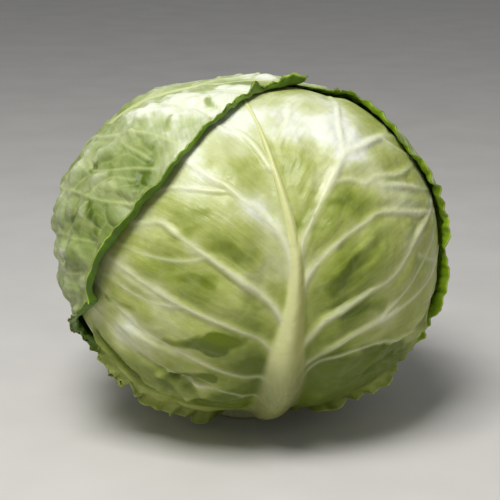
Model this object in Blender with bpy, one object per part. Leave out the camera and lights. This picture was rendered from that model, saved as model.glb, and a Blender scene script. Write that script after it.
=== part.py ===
# A head of white cabbage as cut, standing on the cut face of its short stem.
# Metres, +Z up. The origin is the middle of the cut face, and the front leaf faces -Y.
# A place on a leaf is a pair of angles in degrees seen from the middle of the head.
# The second runs along the leaf's own middle plane, from straight down (0) past level (90)
# to straight up (180). The first is the angle out of that plane, to the right from outside.

import math

import bmesh
import bpy
import numpy as np

MM = 0.001

# The dense inner head
HEAD_MIDDLE = np.array([0.0, 0.0, 83.0]) * MM
HEAD_RADII = np.array([86.5, 84.5, 77.0]) * MM
HEAD_SQUARENESS = 2.2
BASE_DEPTH = 74.0 * MM
BASE_BLEND = 12
HEART_RINGS = 20
HEART_SIDES = 38
# Broad swellings and hollows of the head: azimuth, height angle, half-width in degrees
# and how far it stands out
LUMPS = (
    (-70.0, 48.0, 34.0, -5.0 * MM),
    (62.0, 148.0, 30.0, 3.0 * MM),
    (22.0, 30.0, 26.0, -3.0 * MM),
    (-100.0, 128.0, 40.0, 1.0 * MM),
    (115.0, 62.0, 36.0, 1.5 * MM),
    (170.0, 118.0, 42.0, 1.5 * MM),
    (-150.0, 50.0, 34.0, -2.0 * MM),
)

# The stem
STEM_CUT_RADIUS = 18.5 * MM
STEM_TOP_RADIUS = 20.6 * MM
STEM_BEVEL = 1.2 * MM
STEM_SIDES = 40
# Angles below the head at which the stem's top stays clear of it by the gap
STEM_CLEARS = np.linspace(-20.0, 20.0, 9)
TOUCH_GAP = 0.8 * MM

# How the leaves lie in layers: the gaps to the heart and to the leaf beneath, and how far
# outside that leaf's edge an upper leaf starts and ends its climb over it
BLADE = 0.9 * MM
HEART_INSET = 0.6 * MM
LAYER_GAP = 1.45 * MM
LAYER_STEP = 2.5 * MM
DRAPE_FROM = 10.0 * MM
DRAPE_TO = 1.0 * MM
FLARE_FADE_FROM = 17.0 * MM
FLARE_FADE_TO = 8.0 * MM
PRESSED_RELIEF = 0.4 * MM

# The midrib: how much of its width it loses by which share of the rows, and its section
RIB_NARROWING = 0.78
RIB_NARROW_BY = 0.85
TIP_NARROWING = 0.6
TIP_FROM = 0.75
RIB_FLATTENING = 1.25
RIB_ROUNDNESS = 1.3
RIB_RISES = (-0.2, 0.5)

# The side veins and the swellings between them, in shares of the way out from the midrib
VEIN_HEIGHT = 2.4 * MM
VEIN_TAPER = 0.75
SWELL_HEIGHT = 1.2 * MM
SWELL_RISES = (0.1, 0.4)
SWELL_ENDS = (0.75, 1.0)

# The waved edge: lifts in degrees, the rows over which the low edge turns into the upper
# one, and a second wave over the first: its share, its rate and its start
MOST_LIFT = 115.0
LEAST_LIFT = 0.1
ROOT_STIFF = (9.0 * MM, 30.0 * MM)
LOW_ROWS = (0.2, 1.4)
SIDES_MEET = 10.0
SECOND_WAVE = (0.5, 1.7, 1.3)

# The grid over a leaf: rows beside each vein, columns over the midrib in shares of its
# half-width, columns over the edge in shares of its reach, and the most that either takes
ROW_FRACTIONS = (0.0, 0.18, 0.5, 0.82)
BASE_ROW = 0.07
TIP_ROW = 0.09
RIB_COLUMNS = (0.0, 0.55, 1.25)
EDGE_COLUMNS = (0.45, 0.0)
RIB_SHARE = 0.3
EDGE_SHARE = 0.35
CURVE_SAMPLES = 49
OUTLINE_STEPS = 6

# Each leaf, from the innermost to the outermost, turned about the upright axis by its
# azimuth (0 faces -Y, 90 faces +X). A row follows one side vein: its root on the midrib,
# then for the left and the right half the place it bends towards and the place where it
# meets the leaf's edge. The first row is the leaf's lower edge and the last its tip.
# Widths, heights and reaches are in millimetres, and low ones are left and right in turn.
LEAVES = {
    "leaf_inner_left": {
        "azimuth": -48.0, "over": (), "color": (0.50, 0.58, 0.22), "columns": 4,
        "rib": {"width": 10.0, "height": 3.0},
        "edge": {"reach": 5.0, "low_reach": (6.0, 6.0), "lift": 20.0, "low_lift": (40.0, 40.0),
                 "wave": 0.4, "waves": 9},
        "rows": [
            ((0, 17), (-12, 16), (-28, 32), (12, 16), (28, 32)),
            ((0, 42), (-20, 42), (-40, 54), (20, 42), (40, 54)),
            ((0, 68), (-22, 74), (-46, 86), (22, 74), (46, 86)),
            ((1, 94), (-20, 108), (-42, 122), (22, 108), (43, 122)),
            ((1, 142), (-10, 148), (-21, 143), (12, 148), (22, 144)),
        ],
    },
    "leaf_inner_right": {
        "azimuth": 76.0, "over": (), "color": (0.50, 0.58, 0.22), "columns": 4,
        "rib": {"width": 10.0, "height": 3.0},
        "edge": {"reach": 5.0, "low_reach": (6.0, 6.0), "lift": 20.0, "low_lift": (40.0, 40.0),
                 "wave": 0.4, "waves": 9},
        "rows": [
            ((0, 17), (-12, 16), (-29, 33), (12, 16), (28, 32)),
            ((0, 44), (-20, 44), (-41, 56), (20, 43), (40, 55)),
            ((0, 70), (-22, 75), (-47, 88), (22, 76), (45, 88)),
            ((-1, 95), (-22, 108), (-43, 121), (20, 109), (42, 123)),
            ((-1, 144), (-12, 149), (-22, 144), (10, 149), (21, 145)),
        ],
    },
    "leaf_rear": {
        "azimuth": -165.0, "over": (), "color": (0.48, 0.57, 0.22), "columns": 5,
        "rib": {"width": 11.5, "height": 5.5},
        "edge": {"reach": 5.0, "low_reach": (7.0, 7.0), "lift": 35.0, "low_lift": (55.0, 55.0),
                 "wave": 0.5, "waves": 15},
        "rows": [
            ((0, 17), (-13, 15), (-32, 35), (13, 15), (31, 34)),
            ((0, 44), (-22, 46), (-42, 60), (21, 45), (41, 58)),
            ((1, 64), (-23, 72), (-48, 86), (24, 71), (47, 84)),
            ((2, 84), (-22, 97), (-50, 114), (26, 96), (50, 112)),
            ((1, 106), (-17, 124), (-42, 141), (21, 123), (44, 139)),
            ((-1, 134), (-12, 150), (-25, 161), (10, 150), (26, 160)),
            ((-3, 170), (-8, 172), (-12, 169), (4, 172), (10, 169)),
        ],
    },
    "leaf_front": {
        "azimuth": 11.0, "over": ("leaf_inner_left", "leaf_inner_right"),
        "color": (0.56, 0.62, 0.29), "columns": 6,
        "rib": {"width": 13.5, "height": 8.0},
        "edge": {"reach": 6.5, "low_reach": (14.0, 8.0), "lift": 42.0, "low_lift": (92.0, 55.0),
                 "wave": 0.45, "waves": 19},
        "rows": [
            ((0, 17), (-17, 15), (-52, 36), (15, 15), (46, 42)),
            ((2, 45), (-28, 42), (-67, 57), (20, 44), (56, 55)),
            ((2, 64), (-31, 61), (-71, 82), (28, 66), (68, 74)),
            ((2, 72), (-27, 84), (-67, 106), (35, 79), (71, 96)),
            ((3, 82), (-19, 103), (-60, 126), (32, 98), (69, 120)),
            ((3, 95), (-15, 115), (-51, 141), (27, 114), (62, 138)),
            ((2, 108), (-14, 120), (-40, 154), (18, 134), (50, 153)),
            ((-2, 131), (-11, 146), (-27, 166), (8, 154), (31, 168)),
            ((-9, 176), (-13, 176), (-17, 173), (0, 178), (12, 175)),
        ],
    },
    "leaf_right": {
        "azimuth": 138.0, "over": ("leaf_inner_right", "leaf_rear", "leaf_front"),
        "color": (0.46, 0.56, 0.20), "columns": 5,
        "rib": {"width": 12.5, "height": 6.5},
        "edge": {"reach": 6.5, "low_reach": (7.0, 7.0), "lift": 66.0, "low_lift": (60.0, 60.0),
                 "wave": 0.5, "waves": 17},
        "rows": [
            ((0, 17), (-15, 14), (-42, 34), (15, 14), (40, 38)),
            ((0, 42), (-24, 42), (-56, 51), (22, 44), (48, 60)),
            ((0, 60), (-29, 64), (-60, 68), (27, 68), (54, 84)),
            ((-1, 77), (-30, 84), (-60, 90), (28, 88), (56, 106)),
            ((-1, 94), (-28, 104), (-58, 112), (25, 110), (52, 129)),
            ((0, 112), (-24, 126), (-56, 134), (19, 132), (42, 147)),
            ((1, 132), (-17, 147), (-48, 154), (12, 152), (28, 161)),
            ((2, 168), (-11, 168), (-23, 164), (8, 170), (15, 167)),
        ],
    },
    "leaf_left": {
        "azimuth": -100.0,
        "over": ("leaf_inner_left", "leaf_rear", "leaf_front", "leaf_right"),
        "color": (0.44, 0.56, 0.26), "columns": 6,
        "rib": {"width": 13.0, "height": 7.0},
        "edge": {"reach": 6.5, "low_reach": (7.0, 7.0), "lift": 70.0, "low_lift": (60.0, 60.0),
                 "wave": 0.5, "waves": 19},
        "rows": [
            ((0, 17), (-15, 14), (-38, 36), (14, 14), (17, 36)),
            ((0, 44), (-23, 46), (-49, 60), (22, 50), (41, 64)),
            ((0, 62), (-27, 70), (-54, 84), (28, 68), (54, 77)),
            ((1, 80), (-28, 90), (-56, 106), (30, 84), (58, 92)),
            ((1, 97), (-26, 110), (-54, 127), (30, 104), (59, 109)),
            ((0, 113), (-22, 130), (-48, 145), (29, 124), (62, 127)),
            ((-1, 128), (-17, 148), (-39, 160), (25, 142), (58, 145)),
            ((-1, 143), (-11, 163), (-29, 173), (18, 159), (51, 163)),
            ((0, 162), (-8, 178), (-18, 184), (10, 178), (34, 180)),
            ((0, 196), (-5, 196), (-10, 192), (7, 195), (14, 191)),
        ],
    },
}
HEART_COLOR = (0.62, 0.66, 0.36)
STEM_COLOR = (0.60, 0.60, 0.42)
WAXY_ROUGHNESS = 0.45


def unit(vectors):
    return vectors / np.linalg.norm(vectors, axis=-1, keepdims=True)


def smooth_step(low, high, value):
    part = np.clip((value - low) / (high - low), 0.0, 1.0)
    return part * part * (3.0 - 2.0 * part)


def leaf_axes(azimuth):
    turn = math.radians(azimuth)
    out = np.array([math.sin(turn), -math.cos(turn), 0.0])
    side = np.array([math.cos(turn), math.sin(turn), 0.0])
    return out, side


def to_directions(azimuth, angles):
    out, side = leaf_axes(azimuth)
    across = np.radians(angles[..., 0:1])
    along = np.radians(angles[..., 1:2])
    up = np.array([0.0, 0.0, 1.0])
    return np.cos(across) * (np.sin(along) * out - np.cos(along) * up) + np.sin(across) * side


def to_angles(azimuth, directions):
    out, side = leaf_axes(azimuth)
    across = np.degrees(np.arcsin(np.clip(directions @ side, -1.0, 1.0)))
    along = np.degrees(np.arctan2(directions[..., 2], directions @ out)) + 90.0
    return np.stack([across, along], axis=-1)


def head_radius(directions):
    # a squarish ellipsoid with a few broad lumps, flattened below where the stem joins
    scaled = np.abs(directions) / HEAD_RADII
    radius = np.sum(scaled ** HEAD_SQUARENESS, axis=-1) ** (-1.0 / HEAD_SQUARENESS)
    for azimuth, height, spread, lift in LUMPS:
        middle = to_directions(azimuth, np.array([0.0, height]))
        off = np.degrees(np.arccos(np.clip(directions @ middle, -1.0, 1.0)))
        radius = radius + lift * (1.0 - smooth_step(0.0, 2.0 * spread, off))
    floor = BASE_DEPTH / np.maximum(-directions[..., 2], 0.001)
    return (radius ** -BASE_BLEND + floor ** -BASE_BLEND) ** (-1.0 / BASE_BLEND)


def spline(points, place):
    # a smooth curve through the points, whose place counts them from 0
    points = np.asarray(points, dtype=float)
    last = len(points) - 1
    before = 2 * points[0] - points[1]
    after = 2 * points[last] - points[last - 1]
    padded = np.vstack([before, points, after])
    index = np.minimum(np.floor(place).astype(int), last - 1)
    t = (place - index)[..., None]
    p0, p1, p2, p3 = (padded[index + shift] for shift in range(4))
    bend = 2 * p0 - 5 * p1 + 4 * p2 - p3
    twist = 3 * p1 - p0 - 3 * p2 + p3
    return 0.5 * (2 * p1 + (p2 - p0) * t + bend * t * t + twist * t * t * t)


def side_curve(leaf, row, along, side):
    # the side vein's curve through that row: side -1 is left and 1 is right
    rows = leaf["rows"]
    first = 1 if side < 0 else 3
    root = spline([r[0] for r in rows], row)
    bend = spline([r[first] for r in rows], row)
    end = spline([r[first + 1] for r in rows], row)
    t = along[..., None]
    return (1 - t) ** 2 * root + 2 * t * (1 - t) * bend + t * t * end


def outline(leaf):
    # the leaf's edge, from its root up the right side, over the tip and down the left side
    last = len(leaf["rows"]) - 1
    ladder = np.linspace(0.0, last, last * OUTLINE_STEPS + 1)
    across = np.linspace(0.0, 1.0, 2 * OUTLINE_STEPS, endpoint=False)
    base_right = side_curve(leaf, np.zeros_like(across), across, 1)
    right = side_curve(leaf, ladder, np.ones_like(ladder), 1)
    tip_right = side_curve(leaf, np.full_like(across, last), 1 - across, 1)[1:]
    tip_left = side_curve(leaf, np.full_like(across, last), across, -1)
    left = side_curve(leaf, ladder[::-1], np.ones_like(ladder), -1)
    base_left = side_curve(leaf, np.zeros_like(across), 1 - across, -1)[1:]
    return np.vstack([base_right, right, tip_right, tip_left, left, base_left])


def nearest_on_line(points, starts, ends):
    # for each point, the nearest place on a chain of segments: distance, segment, fraction
    step = ends - starts
    length = np.maximum(np.sum(step * step, axis=-1), 1e-12)
    to_point = points[:, None, :] - starts[None, :, :]
    part = np.clip(np.sum(to_point * step, axis=-1) / length, 0.0, 1.0)
    gap = np.linalg.norm(to_point - part[..., None] * step, axis=-1)
    pick = np.argmin(gap, axis=1)
    here = np.arange(len(points))
    return gap[here, pick], pick, part[here, pick]


def inside_outline(angles, edge):
    # counts how often a line to the side of each point crosses the outline
    x, y = angles[:, 0:1], angles[:, 1:2]
    x1, y1 = edge[:, 0], edge[:, 1]
    x2, y2 = np.roll(x1, -1), np.roll(y1, -1)
    straddles = (y1 > y) != (y2 > y)
    rise = np.where(np.abs(y2 - y1) < 1e-9, 1e-9, y2 - y1)
    crosses = straddles & (x < x1 + (y - y1) * (x2 - x1) / rise)
    return np.sum(crosses, axis=1) % 2 == 1


def depth_in_leaf(name, directions):
    # how far inside that leaf's outline each direction lies, negative outside, in metres
    leaf = LEAVES[name]
    edge = outline(leaf)
    edge_at = to_directions(leaf["azimuth"], edge)
    radius = float(np.mean(HEAD_RADII))
    flat = directions.reshape(-1, 3)
    gap, _, _ = nearest_on_line(flat * radius, edge_at * radius, np.roll(edge_at, -1, 0) * radius)
    inside = inside_outline(to_angles(leaf["azimuth"], flat), edge)
    return np.where(inside, gap, -gap).reshape(directions.shape[:-1])


def leaf_grid(leaf):
    # angles of a grid of points over the leaf, close together at its midrib and its edge
    last = len(leaf["rows"]) - 1
    rows = [n + part for n in range(last) for part in ROW_FRACTIONS]
    rows += [last - TIP_ROW, float(last)]
    rows.insert(1, BASE_ROW)
    rib = leaf["rib"]
    reach = leaf["edge"]["reach"] * MM
    samples = np.linspace(0.0, 1.0, CURVE_SAMPLES)
    grid = []
    for row in rows:
        halves = []
        for side in (-1, 1):
            curve = side_curve(leaf, np.full_like(samples, row), samples, side)
            directions = to_directions(leaf["azimuth"], curve)
            places = directions * head_radius(directions)[:, None]
            steps = np.linalg.norm(np.diff(places, axis=0), axis=1)
            walked = np.concatenate([[0.0], np.cumsum(steps)])
            length = walked[-1]
            foot = min(rib_half_width(rib, row, last), RIB_SHARE * length)
            brim = min(reach, EDGE_SHARE * length)
            over_rib = foot * np.array(RIB_COLUMNS)
            over_edge = length - brim * np.array(EDGE_COLUMNS)
            between = np.linspace(over_rib[-1], length - brim, leaf["columns"] + 1)
            wanted = np.concatenate([over_rib[:-1], between, over_edge])
            where = np.interp(wanted, walked, samples)
            halves.append(side_curve(leaf, np.full_like(where, row), where, side))
        grid.append(np.vstack([halves[0][:0:-1], halves[1]]))
    return np.array(rows), np.array(grid)


def rib_half_width(rib, row, last):
    # the midrib narrows steadily from the stem to the tip
    body = 1.0 - RIB_NARROWING * smooth_step(0.0, RIB_NARROW_BY * last, row)
    tip = 1.0 - TIP_NARROWING * smooth_step(TIP_FROM * last, last, row)
    return rib["width"] * MM * body * tip


def rib_relief(leaf, rows, places):
    # a rounded ridge, highest near the stem, that rises from the middle of the outer face
    rib = leaf["rib"]
    last = len(leaf["rows"]) - 1
    middle = places.shape[1] // 2
    off = np.linalg.norm(places - places[:, middle:middle + 1], axis=-1)
    half = rib_half_width(rib, rows, last)[:, None]
    height = rib["height"] * MM * (half / (rib["width"] * MM)) ** RIB_FLATTENING
    body = np.clip(1.0 - (off / half) ** 2, 0.0, 1.0) ** RIB_ROUNDNESS
    root = smooth_step(*RIB_RISES, rows)[:, None]
    return height * body * root


def vein_relief(leaf, rows, places):
    # a fine ridge along each row that follows a side vein, and a soft swell between them
    last = len(leaf["rows"]) - 1
    middle = places.shape[1] // 2
    part = rows - np.floor(rows)
    on_vein = (part == 0.0) & (rows > 0) & (rows < last)
    ridge = np.where(on_vein, VEIN_HEIGHT, 0.0)[:, None]
    swell = (SWELL_HEIGHT * np.sin(np.pi * part) ** 2)[:, None]
    walk = np.abs(np.arange(places.shape[1]) - middle)[None, :] / middle
    taper = 1.0 - VEIN_TAPER * walk
    away = smooth_step(*SWELL_RISES, walk) * (1.0 - smooth_step(*SWELL_ENDS, walk))
    return ridge * taper, swell * away


def edge_measures(leaf, rows, directions):
    # how deep the edge's roll reaches into the leaf in metres, and its mean lift in degrees
    brim = leaf["edge"]
    low = np.repeat(1.0 - smooth_step(*LOW_ROWS, rows), directions.shape[1])
    across = to_angles(leaf["azimuth"], directions.reshape(-1, 3))[:, 0]
    right = smooth_step(-SIDES_MEET, SIDES_MEET, across)
    low_reach = brim["low_reach"][0] + (brim["low_reach"][1] - brim["low_reach"][0]) * right
    low_lift = brim["low_lift"][0] + (brim["low_lift"][1] - brim["low_lift"][0]) * right
    reach = (brim["reach"] + (low_reach - brim["reach"]) * low) * MM
    return reach, brim["lift"] + (low_lift - brim["lift"]) * low


def flare(leaf, rows, directions, places, amount):
    # rolls the leaf's edge outwards, more and less in turn, so that it runs in waves
    reach, lift = edge_measures(leaf, rows, directions)
    edge = outline(leaf)
    edge_at = to_directions(leaf["azimuth"], edge)
    edge_at = edge_at * head_radius(edge_at)[:, None]
    ends = np.roll(edge_at, -1, axis=0)
    flat = (directions * head_radius(directions)[..., None]).reshape(-1, 3)
    gap, pick, part = nearest_on_line(flat, edge_at, ends)
    lengths = np.linalg.norm(ends - edge_at, axis=1)
    walked = (np.cumsum(lengths) - lengths)[pick] + part * lengths[pick]
    phase = 2 * math.pi * leaf["edge"]["waves"] * walked / lengths.sum()
    share, rate, start = SECOND_WAVE
    wave = np.sin(phase) + share * np.sin(rate * phase + start)
    outward = unit(np.cross(ends - edge_at, edge_at))
    away = unit((1 - part)[:, None] * outward[pick] + part[:, None] * np.roll(outward, -1, 0)[pick])
    off_root = np.linalg.norm(flat - flat[directions.shape[1] // 2], axis=1)
    lift = lift * smooth_step(*ROOT_STIFF, off_root) * (1.0 + leaf["edge"]["wave"] * wave)
    lift = np.minimum(lift, MOST_LIFT) * amount.reshape(-1)
    lift = np.radians(np.maximum(lift, LEAST_LIFT))
    t = np.clip(1.0 - gap / reach, 0.0, 1.0)
    rise = reach * (1.0 - np.cos(lift * t)) / lift
    run = reach * np.sin(lift * t) / lift - reach * t
    radial = unit(places.reshape(-1, 3) - HEAD_MIDDLE)
    moved = places.reshape(-1, 3) + rise[:, None] * radial + run[:, None] * away
    return moved.reshape(places.shape)


def grid_normals(places):
    across = np.gradient(places, axis=1)
    along = np.gradient(places, axis=0)
    return unit(np.cross(across, along))


def leaf_faces(name):
    # the inner and the outer face of a leaf's blade, as grids of places
    leaf = LEAVES[name]
    rows, grid = leaf_grid(leaf)
    directions = to_directions(leaf["azimuth"], grid)
    lifted = np.full(directions.shape[:2], LAYER_GAP)
    for lower in leaf["over"]:
        depth = depth_in_leaf(lower, directions)
        lifted = lifted + LAYER_STEP * smooth_step(-DRAPE_FROM, -DRAPE_TO, depth)
    free = np.ones(directions.shape[:2])
    open_edge = np.ones(directions.shape[:2])
    for upper in LEAVES:
        if name in LEAVES[upper]["over"]:
            depth = depth_in_leaf(upper, directions)
            free = free * (1.0 - smooth_step(-DRAPE_FROM, -DRAPE_TO, depth))
            open_edge = open_edge * (1.0 - smooth_step(-FLARE_FADE_FROM, -FLARE_FADE_TO, depth))
    base = HEAD_MIDDLE + directions * (head_radius(directions) + lifted)[..., None]
    ridge, swell = vein_relief(leaf, rows, base)
    middle = base + directions * (swell * free)[..., None]
    middle = flare(leaf, rows, directions, middle, open_edge)
    normals = grid_normals(middle)
    rib = rib_relief(leaf, rows, base)
    height = np.maximum(rib, ridge)
    height = height * free + np.minimum(height, PRESSED_RELIEF) * (1.0 - free)
    outer = middle + normals * (BLADE / 2 + height)[..., None]
    inner = middle - normals * (BLADE / 2)
    return inner, outer


def add_material(thing, color):
    material = bpy.data.materials.new(thing.name)
    material.use_nodes = True
    shader = material.node_tree.nodes["Principled BSDF"]
    shader.inputs["Base Color"].default_value = (*color, 1.0)
    shader.inputs["Roughness"].default_value = WAXY_ROUGHNESS
    shader.inputs["Metallic"].default_value = 0.0
    thing.data.materials.append(material)


def add_object(name, mesh_maker, color):
    mesh = bpy.data.meshes.new(name)
    mesh_maker.to_mesh(mesh)
    mesh_maker.free()
    mesh.shade_smooth()
    thing = bpy.data.objects.new(name, mesh)
    bpy.context.scene.collection.objects.link(thing)
    add_material(thing, color)


def make_leaf(name):
    # a grid laid on the inner face, cut into triangles and drawn out to the outer face
    inner, outer = leaf_faces(name)
    high, wide = inner.shape[:2]
    maker = bmesh.new()
    bmesh.ops.create_grid(maker, x_segments=wide - 1, y_segments=high - 1, size=1.0)
    maker.verts.ensure_lookup_table()
    number = maker.verts.layers.int.new("place")
    for vert in maker.verts:
        vert[number] = vert.index
        vert.co = inner.reshape(-1, 3)[vert.index]
    bmesh.ops.triangulate(maker, faces=maker.faces)
    below = maker.faces[:]
    drawn = bmesh.ops.extrude_face_region(maker, geom=below, use_keep_orig=True)
    for item in drawn["geom"]:
        if isinstance(item, bmesh.types.BMVert):
            item.co = outer.reshape(-1, 3)[item[number]]
    bmesh.ops.recalc_face_normals(maker, faces=maker.faces)
    add_object(name, maker, LEAVES[name]["color"])


def make_heart():
    # the tightly wrapped inner leaves, as one lumpy ball
    maker = bmesh.new()
    bmesh.ops.create_uvsphere(maker, u_segments=HEART_SIDES, v_segments=HEART_RINGS, radius=1.0)
    for vert in maker.verts:
        direction = np.array(vert.co.normalized())
        vert.co = HEAD_MIDDLE + direction * (head_radius(direction) - HEART_INSET)
    add_object("heart", maker, HEART_COLOR)


def make_stem():
    # a short stump, flat where it was cut and a little wider where the leaves join it
    under = to_directions(0.0, np.stack([STEM_CLEARS, np.zeros_like(STEM_CLEARS)], axis=-1))
    lowest = np.max(head_radius(under) * -under[:, 2])
    top = HEAD_MIDDLE[2] - lowest + HEART_INSET - TOUCH_GAP
    maker = bmesh.new()
    bmesh.ops.create_cone(maker, cap_ends=True, segments=STEM_SIDES, radius1=STEM_CUT_RADIUS,
                          radius2=STEM_TOP_RADIUS, depth=top)
    bmesh.ops.translate(maker, verts=maker.verts, vec=(0.0, 0.0, top / 2))
    rim = [edge for edge in maker.edges if all(vert.co.z < 1e-6 for vert in edge.verts)]
    bmesh.ops.bevel(maker, geom=rim, offset=STEM_BEVEL, segments=2, profile=0.5, affect="EDGES")
    add_object("stem", maker, STEM_COLOR)


def main():
    for thing in list(bpy.data.objects):
        bpy.data.objects.remove(thing)
    make_stem()
    make_heart()
    for name in LEAVES:
        make_leaf(name)


main()
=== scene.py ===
import math

import bpy
import numpy as np
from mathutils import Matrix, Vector


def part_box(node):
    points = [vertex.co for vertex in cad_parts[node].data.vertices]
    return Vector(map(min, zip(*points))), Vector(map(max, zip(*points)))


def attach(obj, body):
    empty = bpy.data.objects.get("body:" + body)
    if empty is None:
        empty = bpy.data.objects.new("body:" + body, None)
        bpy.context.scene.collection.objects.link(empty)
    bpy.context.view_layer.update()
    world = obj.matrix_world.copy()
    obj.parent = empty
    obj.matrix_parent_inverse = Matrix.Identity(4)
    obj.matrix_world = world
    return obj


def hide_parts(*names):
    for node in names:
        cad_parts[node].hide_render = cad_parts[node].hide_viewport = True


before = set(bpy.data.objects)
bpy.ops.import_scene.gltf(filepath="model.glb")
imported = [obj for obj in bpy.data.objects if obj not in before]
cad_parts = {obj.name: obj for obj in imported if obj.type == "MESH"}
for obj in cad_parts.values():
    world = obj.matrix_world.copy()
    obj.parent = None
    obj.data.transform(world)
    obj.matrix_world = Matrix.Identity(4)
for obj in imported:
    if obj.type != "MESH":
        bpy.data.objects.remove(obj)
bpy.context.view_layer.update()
mm = 0.001
print("frame loaded")

# The head: its middle, its half sizes, how square it is, and how flat it is below
head = {
    "middle": np.array([0.0, 0.0, 83.0]) * mm,
    "radii": np.array([86.5, 84.5, 77.0]) * mm,
    "squareness": 2.2,
    "baseDepth": 74.0 * mm,
    "baseBlend": 12,
    # azimuth, height angle, half-width in degrees and lift in mm
    "lumps": [(-70, 48, 34, -5), (62, 148, 30, 3), (22, 30, 26, -3), (-100, 128, 40, 1),
              (115, 62, 36, 1.5), (170, 118, 42, 1.5), (-150, 50, 34, -2), (80, 98, 28, 2.5)],
}

# How the leaves lie over each other, in mm
layers = {
    "blade": 0.8, "inset": 0.6, "gap": 1.45, "step": 2.5,
    "drape": (-10, -1),       # where an upper leaf climbs over the edge of a lower one
    "openEdge": (-17, -8),    # where a lower leaf's edge is free to roll
    "pressed": 0.4,           # what is left of a vein under another leaf
    "topPress": 0.5,          # how much closer the leaves lie on top of the head
    "floor": 2.2,             # how far above the floor the leaves stay
}


def unit(vectors):
    return vectors / np.linalg.norm(vectors, axis=-1, keepdims=True)


def smooth(low, high, value):
    part = np.clip((value - low) / (high - low), 0.0, 1.0)
    return part * part * (3.0 - 2.0 * part)


def leafAxes(azimuth):
    turn = math.radians(azimuth)
    return (np.array([math.sin(turn), -math.cos(turn), 0.0]),
            np.array([math.cos(turn), math.sin(turn), 0.0]))


def toDirections(azimuth, angles):
    # (across, along) in degrees on a leaf: along runs from straight down (0) to straight up (180)
    out, side = leafAxes(azimuth)
    across = np.radians(angles[..., 0:1])
    along = np.radians(angles[..., 1:2])
    up = np.array([0.0, 0.0, 1.0])
    return np.cos(across) * (np.sin(along) * out - np.cos(along) * up) + np.sin(across) * side


def toAngles(azimuth, directions):
    out, side = leafAxes(azimuth)
    across = np.degrees(np.arcsin(np.clip(directions @ side, -1.0, 1.0)))
    along = np.degrees(np.arctan2(directions[..., 2], directions @ out)) + 90.0
    return np.stack([across, along], axis=-1)


def headRadius(directions):
    scaled = np.abs(directions) / head["radii"]
    radius = np.sum(scaled ** head["squareness"], axis=-1) ** (-1.0 / head["squareness"])
    for azimuth, height, spread, lift in head["lumps"]:
        middle = toDirections(azimuth, np.array([0.0, height]))
        off = np.degrees(np.arccos(np.clip(directions @ middle, -1.0, 1.0)))
        radius = radius + lift * mm * (1.0 - smooth(0.0, 2.0 * spread, off))
    floorAt = head["baseDepth"] / np.maximum(-directions[..., 2], 0.001)
    blend = head["baseBlend"]
    return (radius ** -blend + floorAt ** -blend) ** (-1.0 / blend)


def onHead(azimuth, angles):
    directions = toDirections(azimuth, np.asarray(angles, dtype=float))
    return directions * headRadius(directions)[..., None]


def spline(points, place):
    # a smooth curve through the points, whose place counts them from 0
    points = np.asarray(points, dtype=float)
    last = len(points) - 1
    padded = np.vstack([2 * points[0] - points[1], points, 2 * points[last] - points[last - 1]])
    index = np.minimum(np.floor(place).astype(int), last - 1)
    t = (place - index)[..., None]
    p0, p1, p2, p3 = (padded[index + shift] for shift in range(4))
    bend = 2 * p0 - 5 * p1 + 4 * p2 - p3
    twist = 3 * p1 - p0 - 3 * p2 + p3
    return 0.5 * (2 * p1 + (p2 - p0) * t + bend * t * t + twist * t * t * t)


def scattered(cell, seed):
    # a value from 0 to 1 that belongs to that cell and seed
    x, y, z = np.moveaxis(cell, -1, 0)
    value = (x * 73856093 ^ y * 19349663 ^ z * 83492791 ^ seed * 2654435) & 0xffffffff
    value = (value ^ value >> 13) * 1274126177 & 0xffffffff
    return ((value ^ value >> 16) & 0xffff) / 65535


def softNoise(places, size, seed):
    # smooth noise from -1 to 1 whose lumps are about size mm apart
    spot = places / (size * mm) + seed * 17.31
    cell = np.floor(spot).astype(np.int64)
    part = spot - cell
    part = part * part * (3.0 - 2.0 * part)
    total = np.zeros(places.shape[:-1])
    for shift in np.ndindex(2, 2, 2):
        share = np.prod(np.where(np.array(shift) == 1, part, 1.0 - part), axis=-1)
        total = total + share * (2.0 * scattered(cell + np.array(shift), seed) - 1.0)
    return total


def layered(places, parts):
    # several noises in one, each given as (size in mm, share, seed)
    return sum(share * softNoise(places, size, seed) for size, share, seed in parts)


def wobbled(places, amount, size, seed):
    # the places shifted by up to that amount in mm, each way with a noise of its own
    shifts = [softNoise(places, size, seed + turn) for turn in range(3)]
    return places + amount * mm * np.stack(shifts, axis=-1)


def cellBorder(places, size, seed):
    # how far each place is from the border of its cell, in cells about size mm across
    spot = places / (size * mm) + seed * 17.31
    cell = np.floor(spot).astype(np.int64)
    first = np.full(places.shape[:-1], 9.0)
    second = np.full(places.shape[:-1], 9.0)
    for shift in np.ndindex(3, 3, 3):
        corner = cell + np.array(shift) - 1
        centre = corner + np.stack([scattered(corner, seed + turn) for turn in range(3)], axis=-1)
        gap = np.linalg.norm(centre - spot, axis=-1)
        second = np.minimum(second, np.maximum(first, gap))
        first = np.minimum(first, gap)
    return second - first


def sideCurve(leaf, row, along, side):
    # the side vein's curve at that row: side -1 is left and 1 is right
    rows = leaf["rows"]
    first = 1 if side < 0 else 3
    root = spline([r[0] for r in rows], row)
    bend = spline([r[first] for r in rows], row)
    end = spline([r[first + 1] for r in rows], row)
    t = along[..., None]
    return (1 - t) ** 2 * root + 2 * t * (1 - t) * bend + t * t * end


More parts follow.
